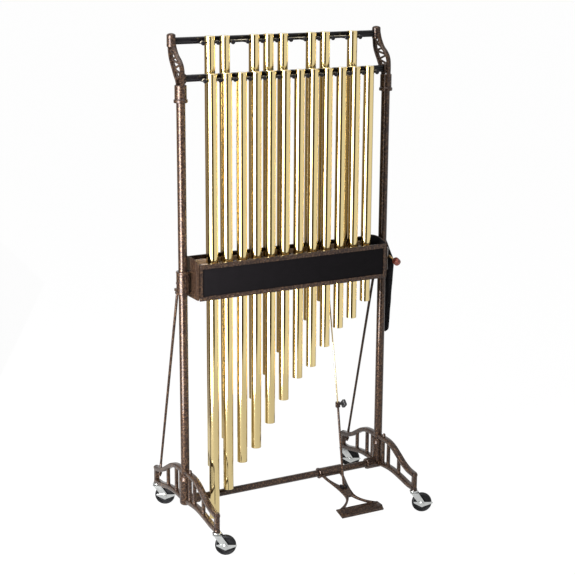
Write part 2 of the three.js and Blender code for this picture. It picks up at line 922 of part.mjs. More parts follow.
function makeWheel(name) {
  const flat = Math.cos(Math.PI / wheelSides);
  const half = caster.wheelWidth / 2;
  const boreRadius = caster.axleDiameter / 2 + caster.axleClearance;
  const profile = [];
  for (const face of [-1, 1]) {
    const points = [
      [boreRadius / flat, face * half],
      [caster.hubDiameter / 2, face * half],
      [caster.rimDiameter / 2, face * (half - caster.rimRecess)],
      [(axleHeight - caster.tyreShoulder) / flat, face * half],
      [axleHeight / flat, face * (half - caster.tyreShoulder)],
    ];
    profile.push(...(face < 0 ? points : points.reverse()));
  }
  profile.push(profile[0]);
  const geometry = turned(profile, wheelSides).rotateZ(Math.PI / wheelSides).rotateX(Math.PI / 2);
  const made = mesh(name, geometry, blackRubber);
  made.position.set(caster.trail, 0, axleHeight);
  return made;
}

// The lever hangs on the axle outside the fork, its two tips reaching past the wheel's edges.
function makeBrake(name) {
  const outline = outlineOf([
    [-brake.shortReach, brake.tipHeight - brake.tipThickness],
    [-brake.vertexWidth / 2, -brake.vertexDrop],
    [brake.vertexWidth / 2, -brake.vertexDrop],
    [brake.longReach, brake.tipHeight - brake.tipThickness],
    [brake.longReach, brake.tipHeight],
    [brake.shoulder, brake.shoulder],
    [-brake.shoulder, brake.shoulder],
    [-brake.shortReach, brake.tipHeight],
  ]);
  const boreDiameter = caster.axleDiameter + 2 * caster.axleClearance;
  const hole = bore(at(0, -brake.plate, 0), at(0, 2 * brake.plate, 0), boreDiameter, rodSides);
  const inner = -(forkHalf + caster.plate + seatGap);
  const made = mesh(name, toGeometry(cut(slab(outline, "y", 0, brake.plate), [hole])), zinc);
  made.position.set(caster.trail, inner - brake.plate, axleHeight);
  return made;
}

function makeCaster(name, side, end) {
  const made = new THREE.Group();
  made.add(makeYoke(name + "_yoke"), makeWheel(name + "_wheel"), makeBrake(name + "_brake"));
  made.position.set(side * columnX, end * leg.reach, 0);
  made.rotation.z = caster.swivelDeg * degree;
  return made;
}

// The box's front: a painted frame whose inner edges are grooved for the black panel.
function makeBoxFront() {
  const half = boxInner - seatGap;
  const front = -box.halfDepth;
  const back = front + box.frameDepth;
  const middleY = (front + back) / 2;
  const middleZ = (boxTop + boxBottom) / 2;
  const frame = chamfered(box.frameDepth, boxTop - boxBottom, box.edgeChamfer, middleY, middleZ);
  const windowLow = at(-half + box.endStrip, front - cutOverrun, boxBottom + box.bottomStrip);
  const windowHigh = at(half - box.endStrip, back + cutOverrun, boxTop - box.topStrip);
  const grooveStart = front + box.panelRecess;
  const grooveLow = at(windowLow.x - box.panelTongue, grooveStart, windowLow.z - box.panelTongue);
  const grooveEnd = grooveStart + box.panelThickness + 2 * seatGap;
  const grooveHigh = at(windowHigh.x + box.panelTongue, grooveEnd, windowHigh.z + box.panelTongue);
  const hollows = [block(windowLow, windowHigh), block(grooveLow, grooveHigh)];
  const solid = cut(slab(frame, "x", -half, half), hollows);
  const panelLow = grooveLow.clone().addScalar(seatGap);
  const panelHigh = grooveHigh.clone().subScalar(seatGap);
  return [
    mesh("box_front_shell", toGeometry(solid), brownPaint),
    mesh("box_front_panel", toGeometry(block(panelLow, panelHigh)), panelBlack),
  ];
}

// The box's rear: one folded sheet with a lip along its top and its bottom.
function makeBoxRear() {
  const half = boxInner - seatGap;
  const back = box.halfDepth;
  const sheet = back - box.rearSheet;
  const lip = back - box.rearLip;
  const outline = outlineOf([
    [back, boxBottom],
    [back, boxTop],
    [lip, boxTop],
    [lip, boxTop - box.rearSheet],
    [sheet, boxTop - box.rearSheet],
    [sheet, boxBottom + box.rearSheet],
    [lip, boxBottom + box.rearSheet],
    [lip, boxBottom],
  ]);
  return mesh("box_rear_shell", toGeometry(slab(outline, "x", -half, half)), brownPaint);
}

// An end plate carries the shaft's bearing and the two pins that the felted frame slides on.
function makeEndPlate(name, side) {
  const half = box.halfDepth;
  const corner = box.cornerRadius;
  const outline = new THREE.Shape();
  outline.moveTo(half, boxTop);
  outline.quadraticCurveTo(0, boxTop + 2 * box.archRise, -half, boxTop);
  outline.lineTo(-half, boxBottom + corner);
  outline.absarc(corner - half, boxBottom + corner, corner, Math.PI, 1.5 * Math.PI, false);
  outline.lineTo(half - corner, boxBottom);
  outline.absarc(half - corner, boxBottom + corner, corner, 1.5 * Math.PI, 2 * Math.PI, false);
  outline.closePath();
  const ends = [side * boxInner, side * boxHalfLength].sort((a, b) => a - b);
  const pinTip = side * (linkInner - guide.tipInside);
  const pins = [-1, 1].map((end) => {
    const y = end * guide.reachFromCentre;
    return bar(at(side * boxInner, y, guideHeight), at(pinTip, y, guideHeight), guide.diameter, rodSides);
  });
  const bearingTip = side * (boxInner - shaft.bearingLength);
  const bearing = bar(
    at(side * boxInner, -shaft.setback, shaftHeight),
    at(bearingTip, -shaft.setback, shaftHeight),
    shaft.bearingDiameter,
    rodSides,
  );
  const bearingBore = bore(
    at(bearingTip - side * cutOverrun, -shaft.setback, shaftHeight),
    at(side * (boxInner - shaft.bearingFloor), -shaft.setback, shaftHeight),
    shaft.diameter + 2 * seatGap,
    rodSides,
  );
  const plate = slab(outline, "x", ends[0], ends[1], pedalSteps);
  return mesh(name, toGeometry(cut(join([plate, ...pins, bearing]), [bearingBore])), brownPaint);
}

// The clamp: a flared collar on the column, two flanges to the end plate and an ear for the brace behind.
function makeClamp(name, side) {
  const boreRadius = upright.diameter / 2 + seatGap;
  const rim = clamp.rimDiameter / 2;
  const collar = clamp.collarDiameter / 2;
  const profile = [
    [boreRadius, clampBottom],
    [rim, clampBottom],
    [rim, clampBottom + clamp.rimHeight],
    [collar, clampBottom + 2 * clamp.rimHeight],
    [collar, clampTop - 2 * clamp.rimHeight],
    [rim, clampTop - clamp.rimHeight],
    [rim, clampTop],
    [boreRadius, clampTop],
    [boreRadius, clampBottom],
  ];
  const reach = columnX - boxHalfLength - seatGap;
  const flangeEnds = [-side * reach, 0].sort((a, b) => a - b);
  const flangeHalf = clamp.flangeWidth / 2;
  const flanges = [clampBottom, clampTop - clamp.flangeThickness].map((z) =>
    block(at(flangeEnds[0], -flangeHalf, z), at(flangeEnds[1], flangeHalf, z + clamp.flangeThickness)),
  );
  const line = braceLine();
  const ear = block(
    at(-clamp.earWidth / 2, 0, clampBottom),
    at(clamp.earWidth / 2, clamp.earReach + clamp.earWidth / 2, clampBottom + clamp.earThickness),
  );
  const screwHeight = (clampBottom + clampTop) / 2;
  const screwEnd = at(side * clamp.screwReach, 0, screwHeight);
  const screw = bar(at(0, 0, screwHeight), screwEnd, clamp.screwDiameter, boltSides);
  const columnBore = bar(
    at(0, 0, clampBottom - cutOverrun),
    at(0, 0, clampTop + cutOverrun),
    2 * boreRadius,
    columnSides,
  );
  const braceBore = bore(
    line.top.clone().addScaledVector(line.along, -clamp.earThickness),
    line.top.clone().addScaledVector(line.along, 2 * clamp.earThickness),
    brace.diameter + 2 * seatGap,
    rodSides,
  );
  const solid = join([toSolid(turned(profile, columnSides)), ...flanges, ear, screw]);
  const made = mesh(name, toGeometry(cut(solid, [columnBore, braceBore])), brownPaint);
  made.position.x = side * columnX;
  return made;
}

function makeBrace(name, side) {
  const line = braceLine();
  const point = (from, distance) => from.clone().addScaledVector(line.along, distance);
  const rodTop = point(line.top, brace.topRise);
  const nutLift = (brace.nutDiameter / 2) * Math.abs(line.along.y) + seatGap;
  const lowerNutTop = -brace.lowerNutDrop - nutLift;
  const nut = (from, top) =>
    bar(point(from, top - brace.nutLength), point(from, top), brace.nutDiameter, boltSides);
  const parts = [
    bar(point(line.foot, -brace.threadLength), rodTop, brace.diameter, rodSides),
    nut(line.foot, lowerNutTop),
    nut(line.top, -nutLift),
  ];
  const made = mesh(name, toGeometry(join(parts)), brownPaint);
  made.position.x = side * columnX;
  return made;
}

// The felted frame: a bar behind each row of tubes, tied by a slotted link at each end.
function makeDamperFrame() {
  const outer = linkInner + damper.linkThickness;
  const thickness = damper.feltThickness + damper.barThickness;
  const parts = [frontRow, rearRow].map((row) => {
    const face = row + tubeRadius + seatGap;
    return block(at(-outer, face, barBottom), at(outer, face + thickness, barTop));
  });
  const front = -shaft.setback - shaft.pinDiameter / 2 - damper.linkFrontMargin;
  const back = rearRow + tubeRadius + seatGap + thickness;
  const slots = [];
  for (const side of [-1, 1]) {
    const ends = [side * linkInner, side * outer].sort((a, b) => a - b);
    parts.push(block(at(ends[0], front, linkBottom), at(ends[1], back, barTop)));
    const [low, high] = [ends[0] - cutOverrun, ends[1] + cutOverrun];
    for (const end of [-1, 1]) {
      const y = end * guide.reachFromCentre;
      const half = guide.diameter / 2 + seatGap;
      const slotLow = at(low, y - half - damper.travel, guideHeight - half);
      slots.push(block(slotLow, at(high, y + half, guideHeight + half)));
    }
    const pin = shaft.pinDiameter / 2 + seatGap;
    const pinTop = shaftHeight + shaft.leverHeight + pin;
    const forkLow = at(low, -shaft.setback - pin, linkBottom - cutOverrun);
    slots.push(block(forkLow, at(high, pin - shaft.setback, pinTop)));
  }
  return mesh("damper_frame", toGeometry(cut(join(parts), slots)), felt);
}

// The shaft: a lever with a pin at each end for the frame, and a crank arm back between two front tubes.
function makeDamperShaft() {
  const half = boxInner - shaft.bearingFloor - seatGap;
  const parts = [bar(at(-half, 0, 0), at(half, 0, 0), shaft.diameter, rodSides)];
  for (const side of [-1, 1]) {
    const outer = side * (linkInner - shaft.leverGap);
    const inner = outer - side * shaft.leverThickness;
    const ends = [outer, inner].sort((a, b) => a - b);
    const lever = new THREE.Shape();
    lever.absarc(0, shaft.leverHeight, shaft.leverWidth / 2, 0, Math.PI, false);
    lever.lineTo(-shaft.footRadius, 0);
    lever.absarc(0, 0, shaft.footRadius, Math.PI, 2 * Math.PI, false);
    lever.closePath();
    parts.push(slab(lever, "x", ends[0], ends[1], arcSteps));
    const pinEnd = at(inner + side * shaft.pinLength, 0, shaft.leverHeight);
    parts.push(bar(at(inner, 0, shaft.leverHeight), pinEnd, shaft.pinDiameter, rodSides));
  }
  const reach = crank.tipReach + shaft.setback;
  const eyeHalf = rod.eyeThickness / 2;
  const x = crankX();
  const armEnd = x - eyeHalf - crank.eyeGap;
  const arm = new THREE.Shape();
  arm.absarc(reach, -crank.tipDrop, crank.armWidth / 2, -Math.PI / 2, Math.PI / 2, false);
  arm.lineTo(0, shaft.footRadius);
  arm.absarc(0, 0, shaft.footRadius, Math.PI / 2, 1.5 * Math.PI, false);
  arm.closePath();
  parts.push(slab(arm, "x", armEnd - crank.armThickness, armEnd, arcSteps));
  const pinStart = at(armEnd - crank.armThickness, reach, -crank.tipDrop);
  const pinEnd = at(x + eyeHalf + crank.eyeGap, reach, -crank.tipDrop);
  parts.push(bar(pinStart, pinEnd, shaft.pinDiameter, rodSides));
  const made = mesh("damper_shaft", toGeometry(join(parts)), zinc);
  made.position.set(0, -shaft.setback, shaftHeight);
  return made;
}

// The crank works in a gap between two tubes of the front row.
function crankX() {
  return naturalX(crank.afterNatural) + tube.pitch / 2;
}

function rodPoints() {
  const drop = pedal.clevisReach * Math.tan(pedalTilt);
  return {
    crankPin: at(crankX(), crank.tipReach, shaftHeight - crank.tipDrop),
    clampMiddle: at(rod.clampX, rod.clampReach, rod.clampHeight),
    pedalPin: at(pedal.centre, -pedal.clevisReach, crossbar.height - drop + pedal.clevisPinRise),
  };
}

function makeUpperRod() {
  const { crankPin, clampMiddle } = rodPoints();
  const along = clampMiddle.clone().sub(crankPin).normalize();
  const eyeHalf = rod.eyeThickness / 2;
  const eyeStart = crankPin.clone().add(at(-eyeHalf, 0, 0));
  const eyeEnd = crankPin.clone().add(at(eyeHalf, 0, 0));
  const foot = clampMiddle.clone().addScaledVector(along, rod.socketDepth - rod.clampRise / 2 - seatGap);
  const eye = bar(eyeStart, eyeEnd, rod.eyeDiameter, columnSides);
  const solid = eye.add(bar(crankPin, foot, rod.upperDiameter, rodSides));
  const overrun = at(cutOverrun, 0, 0);
  const hole = bore(eyeStart.sub(overrun), eyeEnd.add(overrun), shaft.pinDiameter + 2 * seatGap, rodSides);
  return mesh("upper_pull_rod", toGeometry(cut(solid, [hole])), brass);
}

function makeLowerRod() {
  const { crankPin, clampMiddle, pedalPin } = rodPoints();
  const upward = crankPin.clone().sub(clampMiddle).normalize();
  const outline = chamfered(rod.clampWidth, rod.clampDepth, rod.clampChamfer, clampMiddle.x, clampMiddle.y);
  const low = clampMiddle.z - rod.clampRise / 2;
  const high = clampMiddle.z + rod.clampRise / 2;
  const eyeHalf = at(rod.forkEyeThickness / 2, 0, 0);
  const pinHalf = at(rod.pinLength / 2, 0, 0);
  const parts = [
    slab(outline, "z", low, high),
    bar(at(clampMiddle.x, clampMiddle.y, clampMiddle.z), pedalPin, rod.lowerDiameter, rodSides),
    bar(pedalPin.clone().sub(eyeHalf), pedalPin.clone().add(eyeHalf), rod.forkEyeDiameter, columnSides),
    bar(pedalPin.clone().sub(pinHalf), pedalPin.clone().add(pinHalf), shaft.pinDiameter, rodSides),
  ];
  const socketFloor = clampMiddle.clone().addScaledVector(upward, rod.clampRise / 2 - rod.socketDepth);
  const socketMouth = clampMiddle.clone().addScaledVector(upward, rod.clampRise);
  const screwStart = clampMiddle.x + rod.clampWidth / 2;
  const cutters = [
    bore(socketFloor, socketMouth, rod.upperDiameter + 2 * seatGap, rodSides),
    bore(
      at(screwStart - knob.screwDepth - seatGap, clampMiddle.y, clampMiddle.z),
      at(screwStart + cutOverrun, clampMiddle.y, clampMiddle.z),
      knob.screwDiameter + 2 * seatGap,
      rodSides,
    ),
  ];
  return mesh("lower_pull_rod", toGeometry(cut(join(parts), cutters)), brownPaint);
}

// The knob's own origin is on its screw, at the face of the rod's clamp.
function makeKnob() {
  const wheel = new THREE.ExtrudeGeometry(fluted(knob.diameter, knob.lobeDepth, knob.lobes, stepsPerLobe), {
    depth: knob.thickness,
    bevelEnabled: false,
  });
  const start = seatGap + knob.stemLength;
  wheel.applyMatrix4(new THREE.Matrix4().makeBasis(Y, Z, X).setPosition(start, 0, 0));
  const parts = [
    toSolid(wheel),
    bar(at(seatGap, 0, 0), at(start + seatGap, 0, 0), knob.stemDiameter, rodSides),
    bar(at(-knob.screwDepth, 0, 0), at(start, 0, 0), knob.screwDiameter, rodSides),
  ];
  const made = mesh("clamp_knob", toGeometry(join(parts)), blackRubber);
  made.position.set(rod.clampX + rod.clampWidth / 2, rod.clampReach, rod.clampHeight);
  return made;
}

// The pedal's arms are drawn flat, away from the bar along -Y, and then tilted down to the front.
function makePedal() {
  const half = pedal.armThickness / 2;
  const flare = -(pedal.webEnd + pedal.plateStart) / 2;
  const armsEnd = -pedal.plateStart - pedal.plateRim;
  const arms = new THREE.Shape();
  arms.moveTo(-pedal.shoulderHalfWidth, 0);
  arms.bezierCurveTo(
    -pedal.shoulderHalfWidth,
    -pedal.webStart / 2,
    -pedal.waistHalfWidth,
    -pedal.webStart,
    -pedal.waistHalfWidth,
    -pedal.waistDistance,
  );
  arms.quadraticCurveTo(-pedal.waistHalfWidth, flare, -pedal.spreadHalfWidth, armsEnd);
  arms.lineTo(pedal.spreadHalfWidth, armsEnd);
  arms.quadraticCurveTo(pedal.waistHalfWidth, flare, pedal.waistHalfWidth, -pedal.waistDistance);
  arms.bezierCurveTo(
    pedal.waistHalfWidth,
    -pedal.webStart,
    pedal.shoulderHalfWidth,
    -pedal.webStart / 2,
    pedal.shoulderHalfWidth,
    0,
  );
  arms.closePath();
  const upperWindow = new THREE.Path();
  const upperHalf = pedal.shoulderHalfWidth - pedal.armWidth;
  const neckHalf = pedal.waistHalfWidth - pedal.armWidth;
  const upperStart = pedal.sleeveDiameter / 2 + pedal.armThickness / 2;
  upperWindow.moveTo(-upperHalf, -upperStart);
  const upperBend = -(upperStart + pedal.webStart) / 2;
  upperWindow.quadraticCurveTo(-upperHalf, upperBend, -neckHalf, -pedal.webStart);
  upperWindow.lineTo(neckHalf, -pedal.webStart);
  upperWindow.quadraticCurveTo(upperHalf, upperBend, upperHalf, -upperStart);
  upperWindow.closePath();
  const lowerWindow = new THREE.Path();
  const lowerHalf = pedal.spreadHalfWidth - 2 * pedal.armWidth;
  lowerWindow.moveTo(-neckHalf, -pedal.webEnd);
  lowerWindow.quadraticCurveTo(-pedal.waistHalfWidth, flare, -lowerHalf, -pedal.plateStart);
  lowerWindow.lineTo(lowerHalf, -pedal.plateStart);
  lowerWindow.quadraticCurveTo(pedal.waistHalfWidth, flare, neckHalf, -pedal.webEnd);
  lowerWindow.closePath();
  arms.holes.push(upperWindow, lowerWindow);
  const tip = (pedal.plateStart + pedal.plateEnd) / 2;
  const plate = outlineOf([
    [-pedal.plateHalfLength, -pedal.plateEnd],
    [pedal.plateHalfLength - pedal.plateTip, -pedal.plateEnd],
    [pedal.plateHalfLength, -tip],
    [pedal.plateHalfLength - pedal.plateTip, -pedal.plateStart],
    [-pedal.plateHalfLength, -pedal.plateStart],
  ]);
  const tilted = (outline, low, high) => {
    const options = { depth: high - low, bevelEnabled: false, curveSegments: pedalSteps };
    const geometry = new THREE.ExtrudeGeometry(outline, options);
    return toSolid(geometry.translate(0, 0, low).rotateX(pedalTilt));
  };
  const plateHalf = pedal.plateThickness / 2;
  const rimOutline = outlineOf([
    [-pedal.plateHalfLength, -pedal.plateEnd],
    [pedal.plateHalfLength - pedal.plateTip, -pedal.plateEnd],
    [pedal.plateHalfLength - pedal.plateTip, -pedal.plateEnd + pedal.plateRim],
    [-pedal.plateHalfLength, -pedal.plateEnd + pedal.plateRim],
  ]);
  const sleeveHalf = pedal.sleeveHalfLength;
  const ringStart = -sleeveHalf;
  const clevisY = -pedal.clevisReach;
  const clevisBase = -pedal.clevisReach * Math.tan(pedalTilt);
  const clevisTop = clevisBase + pedal.clevisRise;
  const clevis = block(
    at(-pedal.clevisWidth / 2, clevisY - pedal.clevisDepth / 2, clevisBase - half),
    at(pedal.clevisWidth / 2, clevisY + pedal.clevisDepth / 2, clevisTop),
  );
  const solid = join([
    tilted(arms, -half, half),
    tilted(plate, -plateHalf, plateHalf),
    tilted(rimOutline, 0, plateHalf + pedal.plateRimHeight),
    bar(at(-sleeveHalf, 0, 0), at(sleeveHalf, 0, 0), pedal.sleeveDiameter, columnSides),
    bar(at(ringStart, 0, 0), at(ringStart + pedal.ringLength, 0, 0), pedal.ringDiameter, columnSides),
    clevis,
  ]);
  const pin = rodPoints().pedalPin;
  const pinZ = pin.z - crossbar.height;
  const slack = pedal.clevisSlack;
  const pinHalf = shaft.pinDiameter / 2 + slack;
  const eyeRoom = rod.forkEyeDiameter / 2 + slack;
  const cutters = [
    bore(
      at(-sleeveHalf - cutOverrun, 0, 0),
      at(sleeveHalf + cutOverrun, 0, 0),
      pedal.sleeveBore,
      columnSides,
    ),
    bore(at(-pedal.clevisWidth, clevisY, pinZ), at(pedal.clevisWidth, clevisY, pinZ), 2 * pinHalf, rodSides),
    block(
      at(-pedal.clevisGap / 2, clevisY - eyeRoom - slack, pinZ - eyeRoom),
      at(pedal.clevisGap / 2, clevisY + eyeRoom + slack, clevisTop + cutOverrun),
    ),
  ];
  const made = mesh("pedal", toGeometry(cut(solid, cutters)), brownPaint);
  made.position.set(pedal.centre, 0, crossbar.height);
  return made;
}

// The mallet lies in the pouch, handle up and back. Its own origin is in the middle of its head.
function makeMallet() {
  const half = mallet.headLength / 2;
  const radius = mallet.headDiameter / 2;
  const rounding = mallet.headRounding;
  const profile = [
    [0, -half],
    [radius - rounding, -half],
    [radius, rounding - half],
    [radius, half - rounding],
    [radius - rounding, half],
    [0, half],
  ];
  const handle = bar(at(0, 0, 0), at(0, mallet.handleLength, 0), mallet.handleDiameter, rodSides);
  const made = mesh("mallet", toGeometry(join([toSolid(turned(profile, columnSides)), handle])), rawhide);
  made.position.set(malletX, mallet.headReach, malletHeight);
  made.rotation.set(mallet.tiltDeg * degree, -mallet.rollDeg * degree, 0);
  return made;
}

// The pouch hangs outside the column from a tongue that passes behind it to the end plate. Its
// mouth slopes down to the front, where the mallet's handle goes in.
function makePouch() {
  const outline = new THREE.Shape();
  const rounding = pouch.edgeRounding;
  outline.moveTo(pouch.mouthFront, pouchTop);
  outline.lineTo(pouch.frontTop, pouchTop - pouch.mouthDrop);
  outline.lineTo(pouch.frontBottom, pouchBottom + rounding);
  outline.quadraticCurveTo(pouch.frontBottom, pouchBottom, pouch.frontBottom + rounding, pouchBottom);
  outline.lineTo(pouch.rearBottom - rounding, pouchBottom);
  outline.quadraticCurveTo(pouch.rearBottom, pouchBottom, pouch.rearBottom, pouchBottom + rounding);
  outline.lineTo(pouch.rearTop, pouchTop);
  outline.closePath();
  const tongue = block(
    at(boxHalfLength + seatGap, pouch.tongueFront, tongueBottom),
    at(pouchInner + rounding, pouch.tongueRear, tongueTop),
  );
  const channelWidth = mallet.handleDiameter + 2 * seatGap;
  const channel = new THREE.BoxGeometry(channelWidth, 2 * mallet.handleLength, channelWidth);
  channel.translate(0, mallet.handleLength, 0).rotateX(mallet.tiltDeg * degree);
  channel.translate(malletX, mallet.headReach, malletHeight);
  const solid = join([slab(outline, "x", pouchInner, pouchOuter, arcSteps), tongue]);
  return mesh("mallet_pouch", toGeometry(cut(solid, [toSolid(channel)])), blackCloth);
}

// The whole instrument.
const naturalPlaces = naturals.map((_, i) => naturalX(i));
const frontPegs = [...naturalPlaces, naturalX(naturals.length)].map((x) => x - tube.pitch / 2);
const rearPegs = naturalPlaces;
const sharpPlaces = sharps.map(([, , after]) => naturalX(after) + tube.pitch / 2);

const stand = new THREE.Group();
for (const [sideName, side] of [
  ["left", -1],
  ["right", 1],
]) {
  stand.add(makeLeg(sideName + "_leg", side));
  stand.add(makeUpright(sideName + "_upright", side));
  stand.add(makeTopCasting(sideName + "_top_casting", side));
  stand.add(makeClamp(sideName + "_box_clamp", side));
  stand.add(makeBrace(sideName + "_brace", side));
  stand.add(makeEndPlate(sideName + "_end_plate", side));
  stand.add(makeCaster("front_" + sideName + "_caster", side, -1));
  stand.add(makeCaster("rear_" + sideName + "_caster", side, 1));
}
stand.add(makeRail("front_rail", 0, rail.frontHeight, frontPegs));
stand.add(makeRail("rear_rail", rail.rowOffset, rearRailHeight, rearPegs));
stand.add(makeCrossbar());

const damping = new THREE.Group();
damping.add(...makeBoxFront(), makeBoxRear(), makeDamperFrame(), makeDamperShaft());
damping.add(makeUpperRod(), makeLowerRod(), makeKnob(), makePedal(), makePouch(), makeMallet());

const bells = new THREE.Group();
const hang = tube.hangDrop - cordRise;
bells.add(makeCord("front_cord", frontRow, frontTubeTop - hang, frontPegs, naturalPlaces));
bells.add(makeCord("rear_cord", rearRow, rearTubeTop - hang, rearPegs, sharpPlaces));
naturals.forEach(([name, semitones], i) => {
  bells.add(makeTube("tube_" + name, semitones, naturalPlaces[i], frontRow, frontTubeTop));
});
sharps.forEach(([name, semitones], i) => {
  bells.add(makeTube("tube_" + name, semitones, sharpPlaces[i], rearRow, rearTubeTop));
});

const instrument = new THREE.Group();
instrument.add(stand, damping, bells);

// The origin is on the floor under the middle of everything, casters included.
const bounds = new THREE.Box3().setFromObject(instrument);
const middle = bounds.getCenter(new THREE.Vector3());
instrument.position.set(-middle.x, -middle.y, -bounds.min.z);

export default instrument;
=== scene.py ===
# Tubular bells in a wheeled stand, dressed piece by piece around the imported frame. Metres, +Z up.
import math

import bmesh
import bpy
from mathutils import Matrix, Vector


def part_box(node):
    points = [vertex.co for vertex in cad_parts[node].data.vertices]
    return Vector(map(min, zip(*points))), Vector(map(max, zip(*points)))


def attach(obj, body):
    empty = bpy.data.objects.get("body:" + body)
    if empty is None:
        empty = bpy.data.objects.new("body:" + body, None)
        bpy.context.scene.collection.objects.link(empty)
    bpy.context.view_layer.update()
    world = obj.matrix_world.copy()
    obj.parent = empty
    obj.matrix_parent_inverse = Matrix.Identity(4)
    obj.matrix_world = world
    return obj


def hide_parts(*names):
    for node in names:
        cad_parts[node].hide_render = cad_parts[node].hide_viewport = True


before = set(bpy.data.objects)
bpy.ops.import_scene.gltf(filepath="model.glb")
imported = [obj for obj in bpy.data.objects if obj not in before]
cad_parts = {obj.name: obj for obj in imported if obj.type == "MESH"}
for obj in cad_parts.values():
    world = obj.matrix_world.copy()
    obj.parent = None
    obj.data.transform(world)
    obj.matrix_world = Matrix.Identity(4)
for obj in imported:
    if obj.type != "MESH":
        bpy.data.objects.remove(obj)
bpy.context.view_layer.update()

scene = bpy.context.scene


# The camera looks down from the front left, at the set's full height. Its place is measured
# from the point on the floor that lies midway between the two columns.
left_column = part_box("left_upright")
right_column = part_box("right_upright")
centre = (left_column[0] + left_column[1] + right_column[0] + right_column[1]) / 4
centre.z = 0
camera_place = centre + Vector((-2.524, -4.609, 2.220))
camera_turn = math.radians(28.77)
camera_pitch = math.radians(14.33)
camera_roll = math.radians(0.34)
camera = bpy.data.objects.new("camera", bpy.data.cameras.new("camera"))
camera.data.sensor_width = 36
camera.data.lens = 91.22
camera.matrix_world = (
    Matrix.Translation(camera_place)
    @ Matrix.Rotation(-camera_turn, 4, "Z")
    @ Matrix.Rotation(math.pi / 2 - camera_pitch, 4, "X")
    @ Matrix.Rotation(camera_roll, 4, "Z")
)
scene.collection.objects.link(camera)
scene.camera = camera
scene.view_settings.view_transform = "Standard"


# The two columns and the bar between the legs are plain round steel tube, sprayed with the
# brown vein enamel that covers the whole stand. Their ends are hidden in the castings.
def srgb(colour):
    """A colour given as it looks on a screen, from 0 to 255, as a linear colour."""
    shares = [value / 255 for value in colour]
    return (*[share / 12.92 if share < 0.04 else ((share + 0.055) / 1.055) ** 2.4 for share in shares], 1)


class Grain:
    """A shader value that takes part in sums."""

    def __init__(self, tree, socket):
        self.tree = tree
        self.socket = socket

    def sum(self, operation, other):
        node = self.tree.nodes.new("ShaderNodeMath")
        node.operation = operation
        self.tree.links.new(self.socket, node.inputs[0])
        if isinstance(other, Grain):
            self.tree.links.new(other.socket, node.inputs[1])
        else:
            node.inputs[1].default_value = other
        return Grain(self.tree, node.outputs[0])

    def __add__(self, other):
        return self.sum("ADD", other)

    def __mul__(self, other):
        return self.sum("MULTIPLY", other)

    __radd__ = __add__
    __rmul__ = __mul__


class Finish:
    """A material, with the noises, mixes and relief that make it."""

    def __init__(self, name, **constants):
        self.material = bpy.data.materials.new(name)
        self.material.use_nodes = True
        self.tree = self.material.node_tree
        self.shader = self.tree.nodes["Principled BSDF"]
        for socket, value in constants.items():
            label = socket.replace("_", " ").title().replace("Ior", "IOR")
            self.shader.inputs[label].default_value = value

    def node(self, kind, settings=None, sockets=None, output=0):
        node = self.tree.nodes.new(kind)
        for setting, value in (settings or {}).items():
            setattr(node, setting, value)
        for socket, value in (sockets or {}).items():
            if isinstance(value, Grain):
                self.tree.links.new(value.socket, node.inputs[socket])
            else:
                node.inputs[socket].default_value = value
        return Grain(self.tree, node.outputs[output])

    def place(self, stretch=(1, 1, 1)):
        spot = self.node("ShaderNodeTexCoord", output="Object")
        return self.node("ShaderNodeMapping", sockets={"Vector": spot, "Scale": stretch})

    def noise(self, scale, detail, stretch=(1, 1, 1)):
        sockets = {"Vector": self.place(stretch), "Scale": scale, "Detail": detail}
        return self.node("ShaderNodeTexNoise", sockets=sockets)

    def over(self, ground, colour, grain, *limits):
        """A colour laid over another where a grain is high, or between two limits of it."""
        if limits:
            sockets = {"Value": grain, "From Min": limits[0], "From Max": limits[1]}
            grain = self.node("ShaderNodeMapRange", {"interpolation_type": "SMOOTHSTEP"}, sockets)
        return self.node("ShaderNodeMix", {"data_type": "RGBA"}, {0: grain, 6: ground, 7: srgb(colour)}, 2)

    def feed(self, socket, value):
        self.tree.links.new(value.socket, self.shader.inputs[socket])

    def relief(self, height, depth):
        sockets = {"Height": height, "Distance": depth}
        self.feed("Normal", self.node("ShaderNodeBump", sockets=sockets))


def mottled(name, ground, layers, rough, relief, **constants):
    """A material of colours laid over each other by their grains, each given as its scale, detail
    and stretch. Rough is the least roughness, the share added and its grain; relief is a grain
    and a depth."""
    finish = Finish(name, **constants)
    colour = srgb(ground)
    for layer, grain, *limits in layers:
        colour = finish.over(colour, layer, finish.noise(*grain), *limits)
    finish.feed("Base Color", colour)
    if rough:
        least, share, grain = rough
        finish.feed("Roughness", least + share * finish.noise(*grain))
    finish.relief(finish.noise(*relief[0]), relief[1])
    return finish.material


